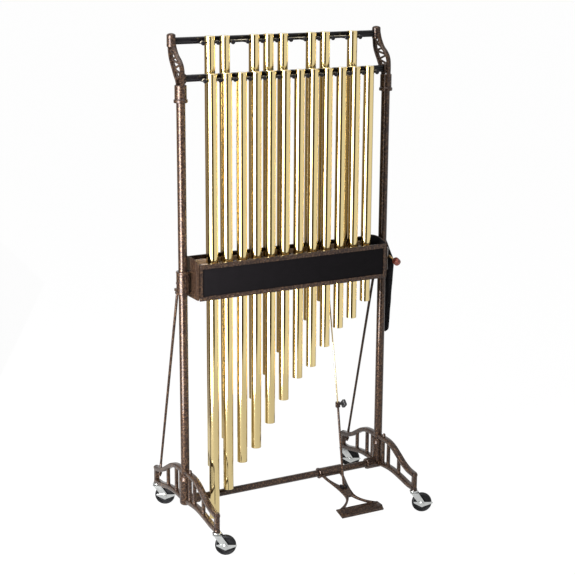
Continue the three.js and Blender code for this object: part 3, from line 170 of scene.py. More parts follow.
class Shape:
    """A mesh under construction: solids are added one by one and then made into a piece."""

    def __init__(self):
        self.mesh = bmesh.new()

    def skin(self, first, second):
        """Faces between two rings; a ring of one corner makes a point."""
        count = max(len(first), len(second))
        for i in range(count):
            j = (i + 1) % count
            corners = [first[i % len(first)], first[j % len(first)]]
            corners += [second[j % len(second)], second[i % len(second)]]
            self.mesh.faces.new(list(dict.fromkeys(corners)))

    def loft(self, loops, closed=False):
        """A skin over loops of points, with its two ends capped unless it closes on itself."""
        rings = [[self.mesh.verts.new(spot) for spot in loop] for loop in loops]
        for first, second in zip(rings, rings[1:]):
            self.skin(first, second)
        if closed:
            self.skin(rings[-1], rings[0])
            return
        for end in (rings[0], rings[-1]):
            if len(end) > 2:
                self.mesh.faces.new(end)

    def turn(self, start, profile, sides=40, axis=(0, 0, 1), closed=False):
        """Revolves (distance along the axis, radius) pairs."""
        axis = Vector(axis).normalized()
        side = axis.orthogonal().normalized()
        other = axis.cross(side)
        angles = [2 * math.pi * i / sides for i in range(sides)]
        loops = []
        for distance, radius in profile:
            middle = Vector(start) + axis * distance
            loop = [middle + radius * (math.cos(a) * side + math.sin(a) * other) for a in angles]
            loops.append(loop if radius else [middle])
        self.loft(loops, closed)

    def rod(self, start, end, radius, sides=24, edge=0.0):
        """A round bar, with its two edges eased if edge is given."""
        along = Vector(end) - Vector(start)
        length = along.length
        profile = [(0, 0), (0, radius - edge), (edge, radius)]
        profile += [(length - edge, radius), (length, radius - edge), (length, 0)]
        self.turn(start, profile if edge else list(dict.fromkeys(profile)), sides, along)

    def pin(self, ends, y, z, radius, sides=20, edge=0.0003):
        """A round bar along X, measured from the floor midway between the columns."""
        self.rod(point(ends[0], y, z), point(ends[1], y, z), radius, sides, edge)

    def sweep(self, path, section, side=Vector((1, 0, 0))):
        """Carries a closed section along a path; side is the section's first direction."""
        loops = []
        for i, spot in enumerate(path):
            forward = (path[min(i + 1, len(path) - 1)] - path[max(i - 1, 0)]).normalized()
            rise = forward.cross(side).normalized()
            loops.append([spot + u * side + v * rise for u, v in section])
        self.loft(loops)

    def plate(self, loops, thickness, edge, place):
        """A flat plate cut to loops, holes included, with eased edges, about its middle plane."""
        curve = bpy.data.curves.new("cut", "CURVE")
        curve.dimensions = "2D"
        curve.fill_mode = "BOTH"
        curve.extrude = thickness / 2 - edge
        curve.bevel_depth = edge
        curve.bevel_resolution = 1
        curve.offset = -edge
        for loop in loops:
            spline = curve.splines.new("POLY")
            spline.points.add(len(loop) - 1)
            spline.use_cyclic_u = True
            for knot, (u, v) in zip(spline.points, loop):
                knot.co = (u, v, 0, 1)
        holder = bpy.data.objects.new("cut", curve)
        scene.collection.objects.link(holder)
        flat = bpy.data.meshes.new_from_object(holder.evaluated_get(bpy.context.evaluated_depsgraph_get()))
        flat.transform(place)
        self.mesh.from_mesh(flat)
        bpy.data.objects.remove(holder)
        bpy.data.meshes.remove(flat)
        bpy.data.curves.remove(curve)

    def box(self, low, high):
        size = Vector(high) - Vector(low)
        place = Matrix.Translation((Vector(low) + Vector(high)) / 2) @ Matrix.Diagonal((*size, 1))
        bmesh.ops.create_cube(self.mesh, size=1, matrix=place)

    def holder(self, name):
        """The shape as an object, for a modifier to work on or to finish."""
        bmesh.ops.recalc_face_normals(self.mesh, faces=self.mesh.faces)
        made = bpy.data.objects.new(name, bpy.data.meshes.new(name))
        self.mesh.to_mesh(made.data)
        self.mesh.free()
        scene.collection.objects.link(made)
        return made

    def take(self, worked):
        """Adds what a worked object has become, as a plain mesh, and clears the object away."""
        mesh = bpy.data.meshes.new_from_object(worked.evaluated_get(bpy.context.evaluated_depsgraph_get()))
        self.mesh.from_mesh(mesh)
        bpy.data.meshes.remove(mesh)
        clear(worked)

    def piece(self, name, finish, slot, node=None, body="stand", place=None, edge=0.0, smooth_deg=32):
        """The finished object: merged, faced outwards, shaded and given to its body."""
        bmesh.ops.remove_doubles(self.mesh, verts=self.mesh.verts, dist=1e-6)
        if place is not None:
            bmesh.ops.transform(self.mesh, matrix=place, verts=self.mesh.verts)
        made = self.holder(name)
        made.data.materials.append(finish)
        made.data.shade_smooth()
        made.data.set_sharp_from_angle(angle=math.radians(smooth_deg))
        if edge:
            bevel = made.modifiers.new("eased_edges", "BEVEL")
            bevel.width = edge
            bevel.segments = 2
            bevel.limit_method = "ANGLE"
            bevel.angle_limit = math.radians(smooth_deg + 8)
        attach(made, body)
        if node:
            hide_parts(node)
        return made


def clear(worked):
    mesh = worked.data
    bpy.data.objects.remove(worked)
    bpy.data.meshes.remove(mesh)


def bored(blank, cutter):
    """A shape with another one cut out of it."""
    whole, drill = blank.holder("whole"), cutter.holder("drill")
    cut = whole.modifiers.new("bore", "BOOLEAN")
    cut.object = drill
    cut.solver = "EXACT"
    result = Shape()
    result.take(whole)
    clear(drill)
    return result


def point(x, y, z):
    """A place measured from the floor midway between the columns."""
    return centre + Vector((x, y, z))


def box_of(node):
    """The two corners of a node's box, measured from the same place."""
    return [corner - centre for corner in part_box(node)]


sides = {"left": -1, "right": 1}
column_reach = (right_column[0].x + right_column[1].x) / 2 - centre.x
column_radius = (left_column[1].x - left_column[0].x) / 2
column_wall = 0.002
vein_grain = (320, 4)
vein_layers = [((45, 33, 26), (14, 2), 0.35, 0.7), ((72, 54, 40), (150, 5), 0.46, 0.62)]
vein_layers.append(((17, 11, 10), vein_grain, 0.56, 0.7))
vein_look = {"metallic": 0.6, "coat_weight": 0.26, "coat_roughness": 0.04, "specular_ior_level": 0.15}
vein_rough, vein_relief = (0.2, 0.14, vein_grain), (vein_grain, 0.0002)
enamel = mottled("brown_vein_enamel", (36, 25, 21), vein_layers, vein_rough, vein_relief, **vein_look)
for side_name, side in sides.items():
    low, high = box_of(side_name + "_upright")
    tall, inner = high.z - low.z, column_radius - column_wall
    shape = Shape()
    profile = [(0, inner), (0, column_radius), (tall, column_radius), (tall, inner)]
    shape.turn(point(side * column_reach, 0, low.z), profile, 64, closed=True)
    shape.piece(side_name + "_column", enamel, "brown_paint", side_name + "_upright")

low, high = box_of("crossbar")
crossbar_height = (low.z + high.z) / 2
crossbar_radius = (high.z - low.z) / 2
shape = Shape()
shape.pin((low.x, high.x), 0, crossbar_height, crossbar_radius, 48, 0)
shape.piece("cross_tube", enamel, "brown_paint", "crossbar")


# Each leg is an open iron casting: an arched top rib and a flatter sole rib, tied by square
# uprights, run from the column's socket to a square post with a faceted top at each end.
leg_reach = 0.265
rib_width, rib_depth, rib_corner = 0.022, 0.018, 0.004
top_rib_shares = [(0, 1), (0.26, 0.99), (0.42, 0.85), (0.57, 0.56), (0.71, 0.27), (0.85, 0.08), (1, 0)]
sole_shares = [(0, 0.75), (0.3, 1), (0.49, 0.88), (0.68, 0.5), (0.85, 0.1), (1, 0)]
baluster_shares = [0.15, 0.3, 0.585]
baluster_widths = [(0, 0.017), (0.12, 0.0125), (0.88, 0.0125), (1, 0.017)]
baluster_corner = 0.0022
wrist_height, shoulder_height = 0.149, 0.224
sole_low, sole_high = 0.095, 0.118
socket_radius, socket_rounding, socket_step = 0.02175, 0.011, 0.003
socket_bottom, socket_top, socket_floor = 0.095, 0.2145, 0.1945
post_bottom, post_top, post_width, post_corner = 0.087, 0.159, 0.020, 0.003
boss_inner_end = 0.364
boss_forms = {"left": (0.0185, 0), "right": (0.0215, 0.0018)}
boss_flutes, lug_reach, post_point = 12, 0.045, (0.007, 0.001)


def smooth_path(points, steps=8):
    """A curve through the points, with that many steps from each to the next."""
    ends = [2 * points[0] - points[1], *points, 2 * points[-1] - points[-2]]
    path = []
    for before, start, end, after in zip(ends, ends[1:], ends[2:], ends[3:]):
        for i in range(steps):
            t = i / steps
            bend = (2 * before - 5 * start + 4 * end - after) * t * t
            bend += (3 * start - before - 3 * end + after) * t**3
            path.append(start + 0.5 * ((end - before) * t + bend))
    return [*path, points[-1]]


def shaped_path(x, ends_y, ends_z, shares, steps=8):
    """A curve in an upright plane, through shares of the way from one end to the other."""
    (y, end_y), (z, end_z) = ends_y, ends_z
    return smooth_path([point(x, y + u * (end_y - y), z + v * (end_z - z)) for u, v in shares], steps)


def arc(u, v, radius, start_deg, end_deg, steps=12):
    """Points along a round stretch of an outline."""
    angles = [math.radians(start_deg + (end_deg - start_deg) * i / steps) for i in range(steps + 1)]
    return [(u + radius * math.cos(a), v + radius * math.sin(a)) for a in angles]


def lobed(radius, depth, lobes, count):
    """A round outline whose edge dips between its lobes."""
    outline = []
    for i in range(count):
        angle = i / count * 2 * math.pi
        reach = radius - depth * (1 - math.cos(angle * lobes)) / 2
        outline.append((reach * math.cos(angle), reach * math.sin(angle)))
    return outline


def mm(*pairs):
    """Pairs given in millimetres."""
    return [(u / 1000, v / 1000) for u, v in pairs]


def rounded_section(width, depth, corner):
    """A rectangle with rounded corners, as a list of pairs."""
    section = []
    for u, v, start_deg in ((1, -1, -90), (1, 1, 0), (-1, 1, 90), (-1, -1, 180)):
        middle = (u * (width / 2 - corner), v * (depth / 2 - corner))
        section += arc(*middle, corner, start_deg, start_deg + 90, 2)
    return section


def height_on(path, reach):
    """The height of a path where it is that far out from the column."""
    for first, second in zip(path, path[1:]):
        near, far = abs(first.y - centre.y), abs(second.y - centre.y)
        if near <= reach <= far:
            return first.z + (second.z - first.z) * (reach - near) / (far - near)
    return path[-1].z


def tower(shape, foot, tiers):
    """Square tiers of (height, width, corner) stacked on a foot."""
    loops = []
    for height, width, corner in tiers:
        half = width / 2
        inset = half - corner
        corners = [(half, -inset), (half, inset), (inset, half), (-inset, half)]
        corners += [(-half, inset), (-half, -inset), (-inset, -half), (inset, -half)]
        loops.append([foot + Vector((x, y, height)) for x, y in corners])
    shape.loft(loops)


for side_name, side in sides.items():
    shape = Shape()
    x = side * column_reach
    socket = [(socket_bottom, 0)]
    middle = (socket_bottom + socket_rounding, socket_radius - socket_rounding)
    socket += arc(*middle, socket_rounding, 180, 90, 6)
    socket += [(0.188, socket_radius), (0.190, socket_radius + 0.0012), (0.196, socket_radius + 0.0012)]
    socket += [(0.198, socket_radius), (socket_top - socket_step, socket_radius)]
    socket += [(socket_top, socket_radius - socket_step), (socket_top, column_radius)]
    socket += [(socket_floor, column_radius), (socket_floor, 0)]
    shape.turn(point(x, 0, 0), socket, 48)
    for end in (-1, 1):
        ends = (0, end * leg_reach)
        top_path = shaped_path(x, ends, (wrist_height, shoulder_height), top_rib_shares)
        sole_path = shaped_path(x, ends, (sole_low, sole_high), sole_shares)
        for path in (top_path, sole_path):
            shape.sweep(path, rounded_section(rib_width, rib_depth, rib_corner))
        for share in baluster_shares:
            reach = share * leg_reach
            low_z = height_on(sole_path, reach)
            tall = height_on(top_path, reach) - low_z
            tiers = [(up * tall, width, baluster_corner) for up, width in baluster_widths]
            tower(shape, point(x, end * reach, low_z), tiers)
        narrow = post_width - 0.002
        steps = [(0, post_width), (0.006, post_width), (0.008, narrow), (0.056, narrow), (0.058, post_width)]
        steps += [(0.066, post_width), (0.070, post_width - 0.006)]
        tiers = [(height, width, post_corner) for height, width in steps]
        tiers.append((post_top - post_bottom, *post_point))
        tower(shape, point(x, end * leg_reach, post_bottom), tiers)
    lug = mm((0, 0), (0, 6), (16, 6), (21, 3.5), (21, 0))
    shape.turn(point(x, -lug_reach, shoulder_height), lug, 20)
    length = column_reach - boss_inner_end
    loops = []
    for distance, share in ((0, 1), (length - 0.002, 1), (length, 0.92)):
        outline = lobed(*boss_forms[side_name], boss_flutes, 96)
        loops.append([point(x - side * distance, u * share, crossbar_height + v * share) for u, v in outline])
    shape.loft(loops)
    shape.piece(side_name + "_leg_casting", enamel, "brown_paint", side_name + "_leg")


# The casters are zinc-plated pressings: a swivel washer, a fork whose cheeks lean back to the
# axle, hexagon axle nuts, a black rubber wheel and a two-ended brake lever outside the fork.
brushed = (500, 2, (1, 1, 0.08))
zinc_layers = [((206, 208, 206), (60, 3))]
zinc_look = (0.08, 0.16, brushed), (brushed, 0.00004)
zinc = mottled("bright_zinc", (158, 160, 160), zinc_layers, *zinc_look, metallic=1.0)
scuff = (90, 5)
rubber_layers = [((20, 19, 19), scuff, 0.5, 0.8)]
rubber_look = (0.42, 0.25, scuff), ((900, 2), 0.0001)
rubber = mottled("black_rubber", (5, 5, 7), rubber_layers, *rubber_look, specular_ior_level=0.2)
seat_gap = 0.0003
caster_turn = math.radians(-28.77)
trail, wheel_radius, wheel_half, axle_radius = 0.0307, 0.0381, 0.011, 0.004
cheek, cheek_end, cheek_gap = 0.0025, 0.011, 0.0014
fork_half = wheel_half + cheek_gap + cheek
crown_half, crown_thickness, swivel_height = 0.015, 0.0045, 0.0055
head_top = post_bottom - seat_gap
crown_top = head_top - swivel_height
stem_radius, stem_length = 0.0055, 0.03
lever_thickness, lever_front, lever_rear, lever_low, lever_high = 0.0025, -0.032, 0.041, 0.0015, 0.007
lever_belly, lever_hump, lever_play = (0, -0.006, 0.0085), (0, -0.001, 0.0105), 0.0004
plate_edge, cheek_edge = 0.0004, 0.0005
upright_plane = Matrix(((1, 0, 0, 0), (0, 0, -1, 0), (0, 1, 0, 0), (0, 0, 0, 1)))


def make_caster(name, place):
    """A caster with its stem on the Z axis, and then set under its post."""
    yoke = Shape()
    outline = [(-crown_half, crown_top), (crown_half, crown_top)]
    outline += arc(trail, wheel_radius, cheek_end, 30, -135, 14)
    for y in (cheek / 2 - fork_half, fork_half - cheek / 2):
        yoke.plate([outline], cheek, cheek_edge, Matrix.Translation((0, y, 0)) @ upright_plane)
    yoke.box((-crown_half, -fork_half, crown_top - crown_thickness), (crown_half, fork_half, crown_top))
    washer = mm((0, 0), (0, 14.5), (1.2, 16.5), (2.6, 17), (3, 15.8), (3.6, 15.8), (4.8, 15))
    washer += mm((5.8, 12), (5.8, 0))
    yoke.turn((0, 0, crown_top - seat_gap), washer)
    yoke.rod((0, 0, crown_top), (0, 0, head_top + stem_length), stem_radius)
    nut_reach = fork_half + lever_thickness + 2 * seat_gap
    yoke.rod((trail, -nut_reach, wheel_radius), (trail, fork_half, wheel_radius), axle_radius)
    nut = mm((0, 0), (0, 6.5), (0.8, 7), (3.2, 7), (4, 6.5), (4, 0))
    for start in (-nut_reach - nut[-1][0], fork_half):
        yoke.turn((trail, start, wheel_radius), nut, 6, (0, 1, 0))
    yoke.piece(name + "_fork", zinc, "zinc", name + "_caster_yoke", name + "_yoke", place)

    wheel = Shape()
    steps = [(0, axle_radius + seat_gap), (0, 0.0095), (0.001, 0.012), (0.004, 0.0135), (0.004, 0.026)]
    steps += [(0.001, 0.0285), (0.001, 0.03), (0.002, 0.0305), (0.0005, 0.032), (0.0015, 0.0345)]
    steps += [(0.0045, 0.0369), (0.0078, wheel_radius)]
    profile = [(inset - wheel_half, radius) for inset, radius in steps]
    profile += [(wheel_half - inset, radius) for inset, radius in reversed(steps)]
    wheel.turn((trail, 0, wheel_radius), profile, 56, (0, 1, 0), closed=True)
    wheel.piece(name + "_tyre", rubber, "black_tyre", name + "_caster_wheel", name + "_wheel", place)

    lever = Shape()
    outline = [(lever_front, lever_low), *arc(*lever_belly, 225, 315, 8), (lever_rear, lever_low)]
    outline += [(lever_rear, lever_high), *arc(*lever_hump, 45, 135, 8), (lever_front, lever_high)]
    hole = arc(0, 0, axle_radius + lever_play, 0, 345, 23)
    spot = Matrix.Translation((trail, -(fork_half + seat_gap + lever_thickness / 2), wheel_radius))
    lever.plate([outline, hole], lever_thickness, plate_edge, spot @ upright_plane)
    lever.piece(name + "_brake_lever", zinc, "zinc", name + "_caster_brake", name + "_brake", place)


for end_name, end in (("front", -1), ("rear", 1)):
    for side_name, side in sides.items():
        corner = point(side * column_reach, end * leg_reach, 0)
        place = Matrix.Translation(corner) @ Matrix.Rotation(caster_turn, 4, "Z")
        make_caster(end_name + "_" + side_name, place)


# A thin steel brace runs from each leg's rear rib up to the box clamp. Both ends are threaded
# and held by hexagon nuts, so that the column can be trued.
brace_foot, brace_top = (0.226, 0.169), (0.048, 0.903)
brace_radius, thread_pitch, thread_depth = 0.0052, 0.0015, 0.0005
below_foot, above_top = 0.046, 0.014
for side_name, side in sides.items():
    shape = Shape()
    foot = point(side * column_reach, *brace_foot)
    head = point(side * column_reach, *brace_top)
    along = (head - foot).normalized()
    start, end = foot - below_foot * along, head + above_top * along
    length = (end - start).length
    profile = [(0, 0), (0, brace_radius - 0.0008)]
    for first, last in ((0, 0.06), (length - 0.03, length)):
        for i in range(int((last - first) / thread_pitch)):
            profile.append((first + (i + 0.25) * thread_pitch, brace_radius))
            profile.append((first + (i + 0.75) * thread_pitch, brace_radius - thread_depth))
    shape.turn(start, [*profile, (length, 0)], 16, along)
    nut = mm((0, 0), (0, 7.8), (1, 8.5), (7, 8.5), (8, 7.8), (8, 0))
    nut_lift = nut[2][1] * abs(along.y) + seat_gap
    for held, top in ((foot, -0.028 - nut_lift), (head, -nut_lift)):
        shape.turn(held + (top - nut[-1][0]) * along, nut, 6, along)
    shape.piece(side_name + "_brace_rod", enamel, "brown_paint", side_name + "_brace")


# On each column sits a cast bracket: a ringed sleeve, and an open S-shaped arm whose front rib
# runs up the sleeve and back to a domed post, while a rear rib starts behind the sleeve. Slanting
# webs tie the ribs. The rails end in a pocket behind the front rib and in one in the post.
front_shares = [(0, 0), (0, 0.22), (0.01, 0.43), (0.1, 0.544), (0.283, 0.625), (0.56, 0.7), (0.742, 0.783)]
front_shares += [(0.875, 0.869), (1, 1)]
rear_shares = [(0, 0), (0.13, 0.12), (0.336, 0.22), (0.51, 0.33), (0.7, 0.44), (0.86, 0.55), (0.95, 0.667)]
rear_shares += [(1, 0.845), (1, 1)]
web_shares = [0.12, 0.36, 0.36, 0.52, 0.56, 0.68, 0.74, 0.8]
web_radius = 0.0042
row_offset = 0.074
front_rail_height, rear_rail_height = 1.671, 1.794
ring_bottom, sleeve_bottom, sleeve_top = 1.588, 1.600, 1.650
ring_radius, sleeve_radius, post_radius = 0.025, 0.0215, 0.016
post_low, post_high, dome = 1.774, 1.822, 0.008
arm_width, arm_depth, arm_corner = 0.017, 0.009, 0.003
boss_reach, pocket_depth = 0.016, 0.008
pocket_width, pocket_height, pocket_corner = 0.0166, 0.0246, 0.0005
boss_section, ease, ring_ease = (0.027, 0.034, 0.005), 0.002, 0.0015


def along_path(path, share):
    """The point that is a share of the way along a path."""
    lengths = [(b - a).length for a, b in zip(path, path[1:])]
    target = share * sum(lengths)
    for a, b, length in zip(path, path[1:], lengths):
        if target <= length:
            return a.lerp(b, target / length)
        target -= length
    return path[-1]


for side_name, side in sides.items():
    shape = Shape()
    x = side * column_reach
    bore, ceiling = column_radius + seat_gap, right_column[1].z + seat_gap
    sleeve = [(ceiling, 0), (ceiling, bore), (ring_bottom, bore), (ring_bottom, ring_radius - ring_ease)]
    sleeve += [(ring_bottom + ring_ease, ring_radius), (sleeve_bottom - ring_ease, ring_radius)]
    sleeve += [(sleeve_bottom, ring_radius - ease), (sleeve_bottom + ease, sleeve_radius)]
    sleeve += [(sleeve_top - ease, sleeve_radius), (sleeve_top, sleeve_radius - ease), (sleeve_top, 0)]
    shape.turn(point(x, 0, 0), sleeve, 48)
    post = [(post_low, 0), (post_low, post_radius - ease), (post_low + ease, post_radius)]
    for angle in (0, 0.3, 0.6, 0.9, 1.15, 1.35):
        post.append((post_high - dome + dome * math.sin(angle), post_radius * math.cos(angle)))
    blank, pocket = Shape(), Shape()
    blank.turn(point(x, row_offset, 0), [*post, (post_high, 0)], 48)
    ends = sorted((x - side * (boss_reach - pocket_depth), x - side * 2 * boss_reach))
    low_y, low_z = row_offset - pocket_width / 2, rear_rail_height - pocket_height / 2
    pocket.box(point(ends[0], low_y, low_z), point(ends[1], low_y + pocket_width, low_z + pocket_height))
    shape.take(bored(blank, pocket).holder("post"))
    paths = []
    ribs = [(-1, sleeve_bottom, front_shares), (1, sleeve_top - arm_depth / 2, rear_shares)]
    for end, foot, shares in ribs:
        ends_y = (end * (sleeve_radius - arm_depth / 2), row_offset + end * (post_radius - arm_depth / 2))
        path = shaped_path(x, ends_y, (foot, post_high - dome - arm_depth / 2), shares, 6)
        shape.sweep(path, rounded_section(arm_width, arm_depth, arm_corner))
        paths.append(path)
    for i, (first, second) in enumerate(zip(web_shares, web_shares[1:])):
        start, end = along_path(paths[1 - i % 2], first), along_path(paths[i % 2], second)
        shape.rod(start, end, web_radius, 14)
    outer = rounded_section(*boss_section)
    inner = rounded_section(pocket_width, pocket_height, pocket_corner)
    steps = [(0, outer, 1), (boss_reach - ring_ease, outer, 1), (boss_reach, outer, 0.94)]
    steps += [(boss_reach, inner, 1), (boss_reach - pocket_depth, inner, 1)]
    loops = []
    for distance, section, share in steps:
        spot = point(x - side * distance, 0, front_rail_height)
        loops.append([spot + Vector((0, u * share, v * share)) for u, v in section])
    shape.loft(loops)
    shape.piece(side_name + "_bracket", enamel, "brown_paint", side_name + "_top_casting")


# The rails are black bars with a shallow groove along their front. Pegs with round heads stick
# out of them between the tubes and carry the cord. One node tree repeats the peg.
def repeat_tree():
    """A node tree that repeats a small part along a straight line."""
    tree = bpy.data.node_groups.new("repeat_along_a_line", "GeometryNodeTree")
    for name, kind in (("Part", "Geometry"), ("Count", "Int"), ("Step", "Vector"), ("Finish", "Material")):
        tree.interface.new_socket(name, in_out="INPUT", socket_type="NodeSocket" + kind)
    tree.interface.new_socket("Row", in_out="OUTPUT", socket_type="NodeSocketGeometry")
    given, result = tree.nodes.new("NodeGroupInput"), tree.nodes.new("NodeGroupOutput")
    kinds = ("MeshLine", "InstanceOnPoints", "RealizeInstances", "SetMaterial")
    line, spread, real, painted = [tree.nodes.new("GeometryNode" + kind) for kind in kinds]
    links = [(given, "Count", line, "Count"), (given, "Step", line, "Offset")]
    links += [(line, "Mesh", spread, "Points"), (given, "Part", spread, "Instance")]
    links += [(spread, "Instances", real, "Geometry"), (real, "Geometry", painted, "Geometry")]
    links += [(given, "Finish", painted, "Material"), (painted, "Geometry", result, "Row")]
    for source, output, target, entry in links:
        tree.links.new(source.outputs[output], target.inputs[entry])
    return tree


repeat_along_a_line = repeat_tree()


def repeated(shape, finish, count, step):
    """A shape repeated along a line, as one plain shape."""
    holder = shape.holder("one")
    row = holder.modifiers.new("row", "NODES")
    row.node_group = repeat_along_a_line
    given = {"Count": count, "Step": step, "Finish": finish}
    for item in repeat_along_a_line.interface.items_tree:
        if item.in_out == "INPUT" and item.name in given:
            row[item.identifier] = given[item.name]
    result = Shape()
    result.take(holder)
    return result


orange_peel = (240, 3)
paint_look = (0.26, 0.16, (60, 4)), (orange_peel, 0.0002)
paint_gloss = {"coat_weight": 0.1, "coat_roughness": 0.06, "specular_ior_level": 0.15}
paint_layers = [((10, 8, 12), orange_peel)]
black_paint = mottled("black_satin_paint", (4, 3, 5), paint_layers, *paint_look, **paint_gloss)
tube_pitch = 0.0582
naturals = ["c5", "d5", "e5", "f5", "g5", "a5", "b5", "c6", "d6", "e6", "f6", "g6"]
first_natural = -(len(naturals) - 1) / 2 * tube_pitch
peg_drop, peg_reach, peg_shank = 0.007, 0.047, 0.0045
peg_head = mm((0, 6.6), (1, 7.8), (4.5, 7.8), (7, 6.2), (8, 4), (8, 0))
rail_section = mm((8, -12), (8, 12), (-5.5, 12), (-8, 9.5), (-8, 4.5), (-6.4, 2.9), (-6.4, -2.9), (-8, -4.5))
rail_section += mm((-8, -9.5), (-5.5, -12))
rails = [("front", 0, front_rail_height, len(naturals) + 1, first_natural - tube_pitch / 2)]
rails.append(("rear", row_offset, rear_rail_height, len(naturals), first_natural))
for row_name, y, height, peg_count, first_peg in rails:
    low, high = box_of(row_name + "_rail")
    half = (high.x - low.x) / 2
    shape = Shape()
    ends = [point(x, y, height) for x in (-half, half)]
    shape.loft([[end + Vector((0, u, v)) for u, v in rail_section] for end in ends])
    shape.piece(row_name + "_bar", black_paint, "black_paint", row_name + "_rail", edge=0.0006)
    shape = Shape()
    peg = [(0, 0), (0, peg_shank), (peg_reach, peg_shank)]
    peg += [(peg_reach + past, radius) for past, radius in peg_head]
    shape.turn(point(first_peg, y, height - peg_drop), peg, 24, (0, -1, 0))
    pegs = repeated(shape, black_paint, peg_count, (tube_pitch, 0, 0))
    pegs.piece(row_name + "_pegs", black_paint, "black_paint")


# The cord is a thin grey braid. It lies over the pegs and runs through a hole in every tube,
# and its ends hang down beside the outermost pegs.
strand = (1400, 2, (1, 1, 3))
strand_layers = [((178, 170, 150), strand)]
braid = mottled("grey_braid", (92, 86, 74), strand_layers, None, (strand, 0.0003), roughness=0.85)
cord_radius = 0.0015
hole_below_rail = 0.0033
front_row = -0.040
rear_row = front_row + row_offset
tube_radius = 0.01905
sharps = {"c5_sharp": 0, "d5_sharp": 1, "f5_sharp": 3, "g5_sharp": 4}
sharps.update({"a5_sharp": 5, "c6_sharp": 7, "d6_sharp": 8, "f6_sharp": 10})
natural_places = [first_natural + i * tube_pitch for i in range(len(naturals))]
sharp_places = [natural_places[after] + tube_pitch / 2 for after in sharps.values()]
diagonal = 0.707
for row_name, y, height, peg_count, first_peg in rails:
    low, high = box_of(row_name + "_cord")
    cord_y = (low.y + high.y) / 2
    lift = peg_shank + cord_radius + seat_gap
    peg_line, tube_line = height - peg_drop, height - hole_below_rail
    last_peg = first_peg + (peg_count - 1) * tube_pitch
    route = [(first_peg - lift, peg_line), (first_peg - lift * diagonal, peg_line + lift * diagonal)]
    stops = [(first_peg + i * tube_pitch, True) for i in range(peg_count)]
    stops += [(x, False) for x in (natural_places if row_name == "front" else sharp_places)]
    for x, is_peg in sorted(stops):
        if is_peg:
            route.append((x, peg_line + lift))
        else:
            route += [(x - tube_radius, tube_line), (x + tube_radius, tube_line)]
    route += [(last_peg + lift * diagonal, peg_line + lift * diagonal), (last_peg + lift, peg_line)]
    shape = Shape()
    path = smooth_path([point(x, cord_y, z) for x, z in route], 4)
    shape.sweep(path, arc(0, 0, cord_radius, 0, 315, 7), Vector((0, 1, 0)))
    shape.piece(row_name + "_tube_cord", braid, "cord", row_name + "_cord")


# The tubes are lacquered brass with a pressed-in cap. Each one is shorter than the last by the
# same share, and hangs from the cord by a hole near its top, with a rivet that fixes the cap.
drawn = (700, 2, (1, 1, 0.015))
brass_layers = [((204, 185, 137), (5, 2, (1, 1, 0.35)))]
brass_look = (0.07, 0.05, drawn), (drawn, 0.000004)
brass = mottled("lacquered_brass", (194, 175, 125), brass_layers, *brass_look, metallic=1.0)
cap_thickness, tube_wall = 0.004, 0.0016
hole_drop, hole_radius, rivet_drop, head_sunk = 0.022, 0.0035, 0.011, 0.0001
for note in [*naturals, *sharps]:
    low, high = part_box("tube_" + note)
    x, y, _ = (low + high) / 2
    top, tall = high.z, high.z - low.z
    inner = tube_radius - tube_wall
    shape = Shape()
    profile = [(0, 0), (0, 0.0168), (0.0003, 0.0178), (0.0013, tube_radius), (0.0042, tube_radius)]
    profile += [(0.0045, tube_radius - 0.0004), (0.0050, tube_radius - 0.0004), (0.0053, tube_radius)]
    profile += [(tall - 0.0006, tube_radius), (tall, tube_radius - 0.0005), (tall, inner + 0.0002)]
    profile += [(tall - 0.0006, inner), (cap_thickness, inner), (cap_thickness, 0)]
    shape.turn((x, y, top), profile, 48, (0, 0, -1))
    drill = Shape()
    reach = tube_radius + 0.01
    drill.rod((x - reach, y, top - hole_drop), (x + reach, y, top - hole_drop), hole_radius, 20)
    bored(shape, drill).piece("bell_tube_" + note, brass, "brass", "tube_" + note, "bell_" + note)
    shape = Shape()
    rivet = mm((0, 0), (0, 2.6), (0.4, 2.6), (0.7, 2), (0.7, 1.4), (0.3, 0.9), (0.3, 0))
    shape.turn((x, y - tube_radius + head_sunk, top - rivet_drop), rivet, 20, (0, -1, 0))
    shape.piece("cap_rivet_" + note, brass, "brass", body="bell_" + note)


# The damper box is steel sheet: a painted front frame whose grooves hold a matt black panel, a
# folded rear sheet with two lips, and arched end plates clamped to the columns. A black sheet on
# each end plate's inner face is painted shade.
pebble = (900, 2)
panel_layers = [((12, 10, 12), (30, 3))]
panel_look = (0.55, 0.2, pebble), (pebble, 0.0002)
black_panel = mottled("matt_black_panel", (7, 6, 7), panel_layers, *panel_look, specular_ior_level=0.05)
front_low, front_high = box_of("box_front_shell")
box_bottom, box_top = front_low.z, front_high.z
box_half = (front_high.x - front_low.x) / 2
end_strip, bottom_strip, top_strip = 0.012, 0.016, 0.0175


def rectangle(left, right, bottom, top):
    return [(left, bottom), (right, bottom), (right, top), (left, top)]


def set_at(x, y, z, plane):
    """The place of a plate whose middle is there and which lies in that plane."""
    return Matrix.Translation(point(x, y, z)) @ plane


